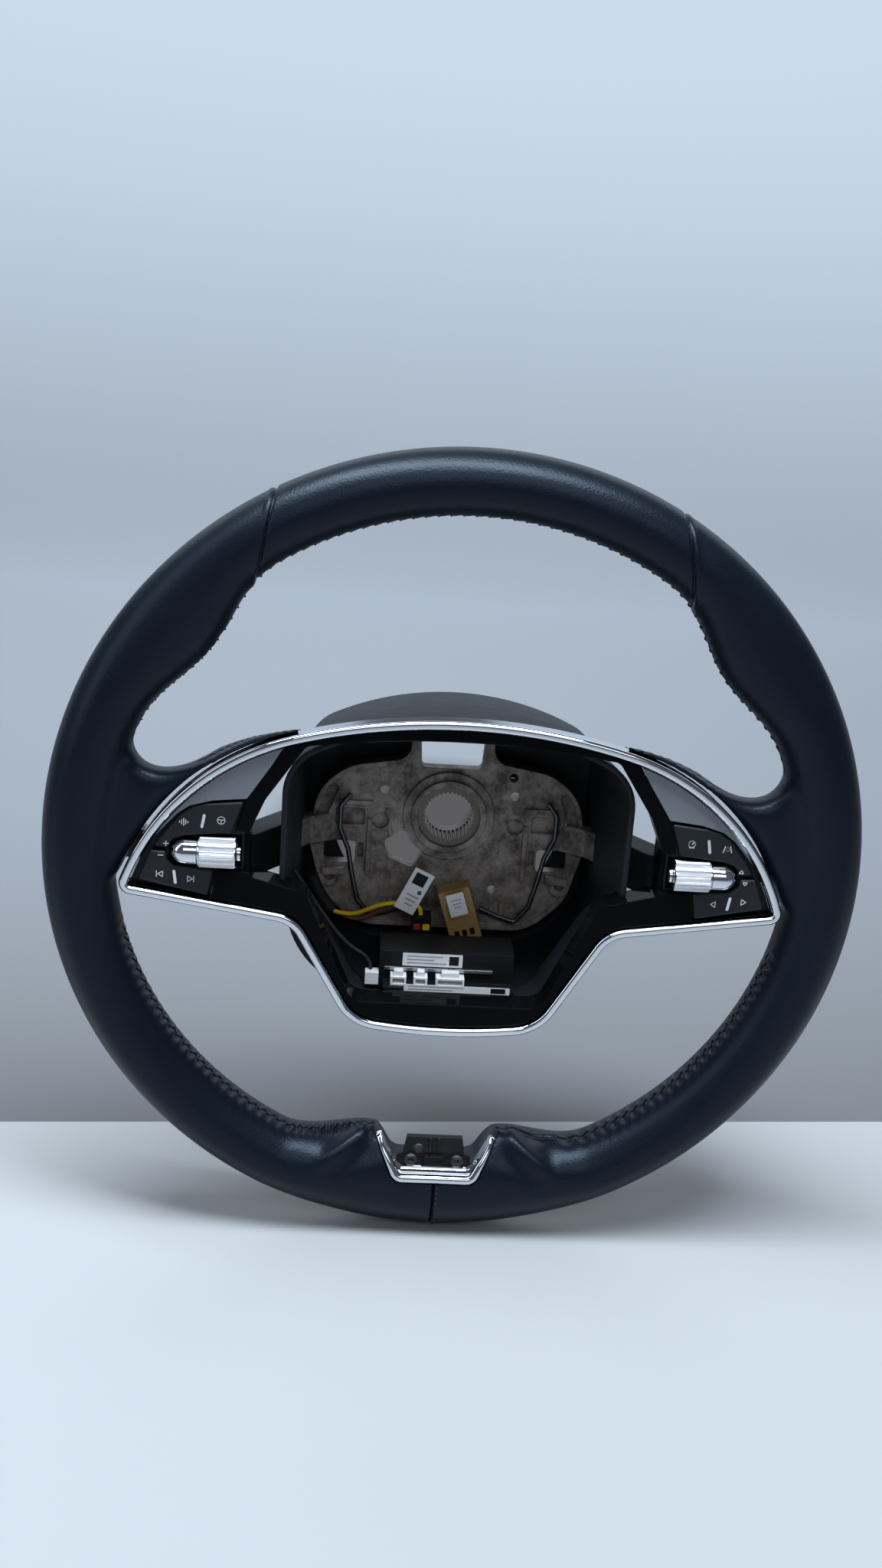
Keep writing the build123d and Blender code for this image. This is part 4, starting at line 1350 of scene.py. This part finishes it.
@dataclass
class KeyMarks:
    """Pale signs and raised bars on the four rocker keys."""

    front: float = RIM_Y - 9.0
    width: float = 0.36
    scale: float = 0.74
    small: float = 0.55
    print_depth: Pair = (0.06, 0.05)
    bar_size: Pair = (1.3, 6.6)
    bar_depth: Pair = (0.35, 0.1)
    bar_corner: float = 0.6
    print_finish: Plastic = Plastic("key_print", (0.55, 0.57, 0.60), 0.5, edge=0.0)
    upper: tuple[Pair, ...] = ((105.1, 17.2), (121.5, 15.7), (129.1, 5.2))
    lower: tuple[Pair, ...] = ((131.4, -0.4), (131.7, -9.3), (118.0, -11.0))
    bars: tuple[tuple[float, float, float], ...] = ((113.0, 16.6, -10.0), (125.0, -10.3, 8.0))
    signs: dict[str, tuple[Mark, ...]] = field(default_factory=lambda: {
        "left": (Mark.WARM, Mark.WAVE, Mark.PLUS, Mark.MINUS, Mark.BACK, Mark.NEXT),
        "right": (Mark.DIAL, Mark.AID, Mark.UP, Mark.DOWN, Mark.RIGHT, Mark.LEFT)})

    def build(self, kit: Kit) -> None:
        """Print the signs of both sides.

        Args:
            kit: Frame and materials.
        """
        pale = kit.shop.other(self.print_finish)
        for side, sign in (("left", -1), ("right", 1)):
            for k, (row, places, body) in enumerate((("upper", self.upper, Body.KEY_UPPER),
                                                     ("lower", self.lower, Body.KEY_LOWER))):
                prints = Prints()
                for mark, (x, z) in zip(self.signs[side][3 * k:], places):
                    size = self.small if mark in (Mark.PLUS, Mark.MINUS, Mark.UP, Mark.DOWN) else self.scale
                    for line in mark.value:
                        prints.stroke([(sign * x + u * size, z + v * size) for u, v in line], self.width,
                                      self.front - self.print_depth[0], self.front + self.print_depth[1])
                x, z, lean = self.bars[k]
                kit.add(f"key_{row}_{side}_signs", prints.mesh("signs"), "key", body.of(side), pale)
                bar = Prints()
                bar.block((sign * x, z), self.bar_size, self.front - self.bar_depth[0],
                          self.front + self.bar_depth[1], sign * lean, self.bar_corner)
                kit.add(f"key_{row}_{side}_bar", bar.mesh("bar"), "knurled", body.of(side))


@dataclass
class Rollers:
    """Knurled thumb rollers."""

    ends: Pair = (97.7, 115.1)
    axis: Pair = (RIM_Y - 8.5, 2.0)
    radius: float = 7.1
    bore: float = 2.05
    flutes: int = 54
    rings: int = 18
    per_ridge: int = 5
    ridge: float = 0.42
    crest_power: float = 0.7
    collar: float = 0.9
    edge: Pair = (0.5, 0.75)

    def profile(self) -> tuple[np.ndarray, np.ndarray, np.ndarray]:
        """Section along the axis.

        Returns:
            Places along the axis, radii, and the share of knurling at each.
        """
        low, high = self.ends
        mid = np.linspace(low + self.collar, high - self.collar, self.rings * self.per_ridge + 1)
        wave = 0.5 - 0.5 * np.cos(2 * math.pi * np.arange(len(mid)) / self.per_ridge)
        x = np.concatenate([[low, low, low + self.edge[0], low + self.collar], mid,
                            [high - self.collar, high - self.edge[0], high, high]])
        r = np.full(len(x), self.radius)
        r[[0, -1]], r[[1, -2]] = self.bore, self.radius - self.edge[1]
        knurl = np.zeros(len(x))
        knurl[4:-4] = wave
        r[4:-4] -= self.ridge
        return x, r, knurl

    def build(self, kit: Kit) -> None:
        """Make the roller of each side.

        Args:
            kit: Frame and materials.
        """
        x, r, knurl = self.profile()
        around = self.flutes * self.per_ridge
        turn = np.linspace(0, 2 * math.pi, around, endpoint=False)
        crest = (0.5 + 0.5 * np.cos(self.flutes * turn)) ** self.crest_power
        rho = r[:, None] + self.ridge * np.sqrt(knurl)[:, None] * crest[None, :]
        y, z = self.axis[0] + rho * np.cos(turn)[None, :], self.axis[1] + rho * np.sin(turn)[None, :]
        for side, sign in (("left", -1), ("right", 1)):
            pts = np.stack([np.repeat(sign * x[:, None], around, 1), y, z], -1).reshape(-1, 3)
            faces = grid_faces(len(x), around, True, True)
            if sign > 0:
                faces = [f[::-1] for f in faces]
            name = f"roller_{side}_knurl"
            mesh = smooth_mesh(name, pts, faces, False)
            kit.add(name, mesh, "knurled", Body.ROLLER.of(side), stands_for=[f"roller_{side}"])


@dataclass(frozen=True)
class Patch:
    """Flat rectangle: its middle, its size, how far it stands out and reaches in, and its corners."""

    at: Pair
    size: Pair
    span: Pair
    corner: float = 0.0


@dataclass(frozen=True)
class Face:
    """Flat face in the hub: its depth, and its place and turn in the wheel."""

    depth: float
    x: float = 0.0
    z: float = 0.0
    turn: float = 0.0

    def at(self, x: float, z: float) -> Pair:
        """Place on the face, as x and z of the wheel."""
        c, n = math.cos(math.radians(self.turn)), math.sin(math.radians(self.turn))
        return self.x + x * c + z * n, self.z - x * n + z * c

    def put(self, prints: Prints, *patches: Patch) -> None:
        """Add rectangles on the face.

        Args:
            prints: Collection to add to.
            *patches: Rectangles, in the face's own x and z.
        """
        for patch in patches:
            front, back = self.depth - patch.span[0], self.depth + patch.span[1]
            prints.block(self.at(*patch.at), patch.size, front, back, self.turn, patch.corner)


@dataclass
class HubLabels:
    """Blank stickers, plain marks and small latches on the hub's electrics."""

    module: Face = Face(RIM_Y + 18.0)
    module_sticker: Patch = Patch((-5.8, -56.8), (28.5, 6.6), (0.15, 0.05), 0.5)
    module_lines: tuple[Patch, ...] = tuple(
        Patch((x, -55.1 - 1.7 * k), (wide, 0.7), (0.2, 0.0))
        for k, (x, wide) in enumerate(((-9.5, 17.0), (-11.5, 13.0), (-8.5, 19.0))))
    module_square: Patch = Patch((4.4, -56.8), (4.6, 4.6), (0.2, 0.0))
    headers: tuple[Patch, ...] = tuple(
        Patch((x, -62.0), (wide, 2.6), (5.6, -1.6), 0.4)
        for x, wide in ((-21.8, 4.6), (-11.2, 3.6), (2.8, 8.4)))
    shelf: Face = Face(RIM_Y + 9.0)
    shelf_sticker: Patch = Patch((6.0, -68.7), (50.0, 6.4), (0.15, 0.0), 0.4)
    shelf_lines: tuple[Patch, ...] = tuple(
        Patch((x, -66.4 - 1.5 * k), (wide, 0.6), (0.2, -0.1))
        for k, (x, wide) in enumerate(((-4.0, 26.0), (-6.5, 21.0))))
    shelf_square: Patch = Patch((25.5, -67.2), (7.0, 2.6), (0.2, -0.1))
    tag: Face = Face(RIM_Y + 49.6, -15.2, -34.6, 24.8)
    tag_square: Patch = Patch((-0.3, 6.6), (6.2, 6.2), (0.08, 0.1))
    tag_lines: tuple[Patch, ...] = tuple(
        Patch((0.4, -2.6 - 2.4 * k), (6.4 - 1.1 * k, 0.8), (0.08, 0.1)) for k in range(3))
    dot_at: Pair = (2.6, 0.4)
    dot_radius: float = 1.1
    dot_span: Pair = (0.09, 0.1)
    latch: Face = Face(RIM_Y + 46.5, 6.0, -39.5, -18.0)
    latch_sticker: Patch = Patch((0.0, 0.2), (8.6, 11.6), (0.12, 0.1), 0.6)
    latch_lines: tuple[Patch, ...] = tuple(
        Patch((0.2, 2.6 - 1.9 * k), (5.2 - 0.9 * k, 0.6), (0.17, 0.0)) for k in range(3))
    plug: Face = Face(RIM_Y + 48.5, 8.0, -45.5, -18.0)
    plug_slots: tuple[Patch, ...] = tuple(
        Patch((-3.8 + 3.8 * k, -9.6), (2.2, 3.4), (0.3, 0.1), 0.4) for k in range(3))
    squib: Face = Face(RIM_Y + 48.0)
    red_latch: Patch = Patch((-12.9, -52.3), (3.4, 3.0), (0.7, 0.2), 0.5)
    yellow_latch: Patch = Patch((-8.4, -52.3), (3.4, 3.0), (0.7, 0.2), 0.5)
    grey: Plastic = Plastic("sticker_marks", (0.30, 0.31, 0.33), 0.6, edge=0.0)
    red: Plastic = Plastic("red_latch", (0.42, 0.022, 0.018), 0.4)

    def build(self, kit: Kit) -> None:
        """Make the stickers, the marks and the latches.

        Args:
            kit: Frame and materials.
        """
        tabs, paper, marks, dark, dot, red, amber = (Prints() for _ in range(7))
        for face, prints, patches in (
                (self.module, tabs, self.headers), (self.module, paper, (self.module_sticker,)),
                (self.module, marks, self.module_lines), (self.module, dark, (self.module_square,)),
                (self.shelf, paper, (self.shelf_sticker,)), (self.shelf, marks, self.shelf_lines),
                (self.shelf, dark, (self.shelf_square,)), (self.tag, dark, (self.tag_square,)),
                (self.tag, marks, self.tag_lines), (self.latch, paper, (self.latch_sticker,)),
                (self.latch, marks, self.latch_lines), (self.plug, dark, self.plug_slots),
                (self.squib, red, (self.red_latch,)), (self.squib, amber, (self.yellow_latch,))):
            face.put(prints, *patches)
        front, back = self.tag.depth - self.dot_span[0], self.tag.depth + self.dot_span[1]
        dot.disc(self.tag.at(*self.dot_at), self.dot_radius, front, back)
        for name, prints, slot, finish in (
                ("header_tabs", tabs, "white", None), ("hub_stickers", paper, "white", Paper()),
                ("hub_sticker_marks", marks, "black_plastic", self.grey),
                ("hub_dark_marks", dark, "black_plastic", None), ("tag_dot", dot, "board", None),
                ("squib_red_latch", red, "brown", self.red), ("squib_yellow_latch", amber, "yellow", None)):
            material = kit.shop.other(finish) if finish else None
            kit.add(name, prints.mesh(name), slot, Body.WHEEL.of(), material)


@dataclass(frozen=True)
class Lead:
    """One insulated lead on its route."""

    node: str
    slot: str
    radius: float
    length: float
    far_end: str
    plug: str
    route: tuple[Point, ...]

    def points(self) -> list[Point]:
        """Route in metres, with its depths taken from the rim's middle plane."""
        return [(x * MM, (y + RIM_Y) * MM, z * MM) for x, y, z in self.route]

    def line(self, kit: Kit) -> bpy.types.Object:
        """Round cord along the route.

        Args:
            kit: Frame and materials.

        Returns:
            The curve object, standing for the lead's solid.
        """
        curve = bpy.data.curves.new(self.node, "CURVE")
        curve.dimensions = "3D"
        curve.bevel_depth = self.radius * MM
        curve.bevel_resolution = 5
        curve.resolution_u = 16
        curve.use_fill_caps = True
        spline = curve.splines.new("NURBS")
        spline.points.add(len(self.route) - 1)
        for point, at in zip(spline.points, self.points()):
            point.co = (*at, 1.0)
        spline.order_u = 3
        spline.use_endpoint_u = True
        return kit.add(f"{self.node}_line", curve, self.slot, Body.WHEEL.of(), stands_for=[self.node])

    def build(self, kit: Kit, more: Sequence[bpy.types.Object] = ()) -> None:
        """Args:
            kit: Frame and materials.
            more: Further pieces on the lead; not used.
        """
        obj = self.line(kit)


@dataclass
class Leads:
    """Leads of the hub and the sleeve over two of them."""

    sleeve: Lead = Lead(
        "harness_sleeve", "sleeve", 3.0, 22.6, "object", "",
        ((-66, 58, -31), (-62, 60, -43), (-55, 60, -50.4)))
    yellow: Lead = Lead(
        "yellow_lead", "yellow", 1.1, 49.2, "connector", "squib_connector",
        ((-54, 59.2, -50.6), (-47.4, 58, -52), (-40, 56, -49.2), (-32, 53, -43.6), (-22, 51.8, -41.6),
         (-11.2, 52, -42.2), (-11.2, 52, -47.5)))
    brown: Lead = Lead(
        "brown_lead", "brown", 1.1, 45.7, "connector", "squib_connector",
        ((-54.3, 61.6, -51.4), (-46, 60.2, -55), (-38, 58.6, -53.4), (-29, 56.4, -46.4), (-13.6, 55.4, -43.2),
         (-13.6, 55.4, -47.5)))
    heater: Lead = Lead(
        "heater_lead", "sleeve", 1.0, 62.6, "plug", "heater_lead_plug",
        ((-73.2, 20, -15), (-63, 20, -30.5), (-48, 20, -51), (-35, 20, -58), (-35, 20, -63.4)))

    def build(self, kit: Kit) -> None:
        """Lay the sleeve and the three leads.

        Args:
            kit: Frame and materials.
        """
        cover = self.sleeve.line(kit)
        self.yellow.build(kit, [cover])
        self.brown.build(kit)
        self.heater.build(kit)


@dataclass(frozen=True)
class Lamp:
    """Soft rectangular lamp: its place, aim and size in metres, its power in watts and its colour."""

    name: str
    at: Point
    aim: Point
    size: Pair
    power: float
    colour: Colour

    def build(self) -> None:
        """Add the lamp to the scene."""
        data = bpy.data.lights.new(self.name, "AREA")
        data.shape = "RECTANGLE"
        data.size, data.size_y = self.size
        data.energy = self.power
        data.color = self.colour
        obj = place(self.name, data)
        obj.location = self.at
        obj.rotation_euler = (Vector(self.aim) - Vector(self.at)).to_track_quat("-Z", "Y").to_euler()


@dataclass
class Studio:
    """Camera, floor and lights."""

    eye: Point = (-0.04911, -0.75758, 0.24611)
    right: Point = (0.99696239, -0.03869347, 0.0675929)
    ahead: Point = (0.05714749, 0.95306749, -0.29731553)
    up: Point = (-0.05291642, 0.30027517, 0.95238368)
    lens: float = 36.254
    sensor: float = 36.0
    floor_z: float = -0.1853
    line_y: float = 0.007
    line_slope: float = 0.0805
    near: float = 4.0
    wide: float = 40.0
    rise_y: Pair = (2.0, 9.0)
    rise: float = 2.6
    rise_rows: int = 25
    floor: Ground = Ground("floor", (0.382, 0.400, 0.416), 0.5)
    # Backdrop: its dark near colour is a painted shade near the wheel that pales to the far colour with
    # distance.
    backdrop: Ground = Ground("backdrop", (0.122, 0.128, 0.136), 0.65, (0.62, 0.68, 0.755), 1.5,
                              # Colour of the painted shadow patch behind the hub.
                              (0.044, 0.036, 0.033))
    lamps: tuple[Lamp, ...] = (
        Lamp("top", (-0.10, -0.30, 1.15), (0.0, -0.06, 0.0), (1.2, 0.4), 36.0, (0.84, 0.92, 1.0)),
        Lamp("front", (0.15, -1.6, 1.0), (0.0, -0.05, 0.0), (1.4, 0.6), 6.0, (0.90, 0.95, 1.0)),
        Lamp("left", (-1.1, -0.4, 0.6), (0.0, -0.05, 0.0), (0.4, 1.2), 3.0, (0.88, 0.94, 1.0)),
        Lamp("back", (0.0, 6.0, 3.2), (0.0, 6.0, 0.0), (12.0, 6.0), 290.0, (0.85, 0.92, 0.99)))
    sky: Colour = (0.36, 0.42, 0.50)
    sky_strength: float = 0.27

    def camera(self) -> None:
        """Place the camera at the photograph's viewing angle."""
        data = bpy.data.cameras.new("camera")
        data.lens = self.lens
        data.sensor_width = self.sensor
        data.clip_start = 0.01
        obj = place("camera", data)
        rows = Matrix((self.right, self.up, tuple(-a for a in self.ahead)))
        obj.matrix_world = Matrix.Translation(self.eye) @ rows.transposed().to_4x4()
        bpy.context.scene.camera = obj

    def stage(self, name: str, edges: Sequence[tuple[Point, Point]], finish: Ground) -> None:
        """Add a surface that is no part of the object.

        Args:
            name: Name of the surface.
            edges: Left and right end of each of its rows from front to back, in metres.
            finish: Its finish.
        """
        mesh = bpy.data.meshes.new(name)
        mesh.from_pydata([end for row in edges for end in row], [], grid_faces(len(edges), 2, False, False))
        mesh.shade_smooth()
        mesh.materials.append(finish.make())
        place(name, mesh)

    def build(self) -> None:
        """Make the whole studio."""
        self.camera()
        z, w, near = self.floor_z, self.wide, self.near
        left, right = self.line_y - self.line_slope * near, self.line_y + self.line_slope * near
        line = ((-near, left, z), (near, right, z))
        self.stage("floor", [((-near, -w, z), (near, -w, z)), line], self.floor)
        start, end = self.rise_y
        rows = [(y, z + self.rise * ((y - start) / (end - start)) ** 2)
                for y in np.linspace(start, end, self.rise_rows).tolist()]
        self.stage("backdrop", [line] + [((-w, y, h), (w, y, h)) for y, h in rows], self.backdrop)
        for lamp in self.lamps:
            lamp.build()
        world = bpy.data.worlds.new("world")
        world.use_nodes = True
        back = world.node_tree.nodes["Background"]
        back.inputs["Color"].default_value = (*self.sky, 1.0)
        back.inputs["Strength"].default_value = self.sky_strength
        bpy.context.scene.world = world
        bpy.context.scene.view_settings.view_transform = "Standard"


def dress_nodes(kit: Kit) -> None:
    """Give every CAD node that still shows its slot's finish.

    Args:
        kit: Frame and materials.
    """
    slots = {part["node"]: part["material_slot"] for part in kit.frame["record"]["subparts"]}
    for node, obj in kit.frame["nodes"].items():
        obj.data.materials.clear()
        own = NODE_FINISHES.get(node)
        obj.data.materials.append(kit.shop.other(own) if own else kit.shop.get(slots[node]))


def main() -> None:
    """Build every sub-assembly and the studio, and log the pieces."""
    logging.basicConfig(level=logging.INFO, format="%(message)s")
    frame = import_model()
    kit = Kit(frame)
    dress_nodes(kit)
    for part in (Rim(), LowTrim(), KeyMarks(), Rollers(), HubLabels(), Leads()):
        part.build(kit)
        LOG.info("%s built", type(part).__name__)
    Studio().build()
    LOG.info("%d pieces: %s", len(kit.pieces), ", ".join(kit.pieces))


if __name__ == "__main__":
    main()
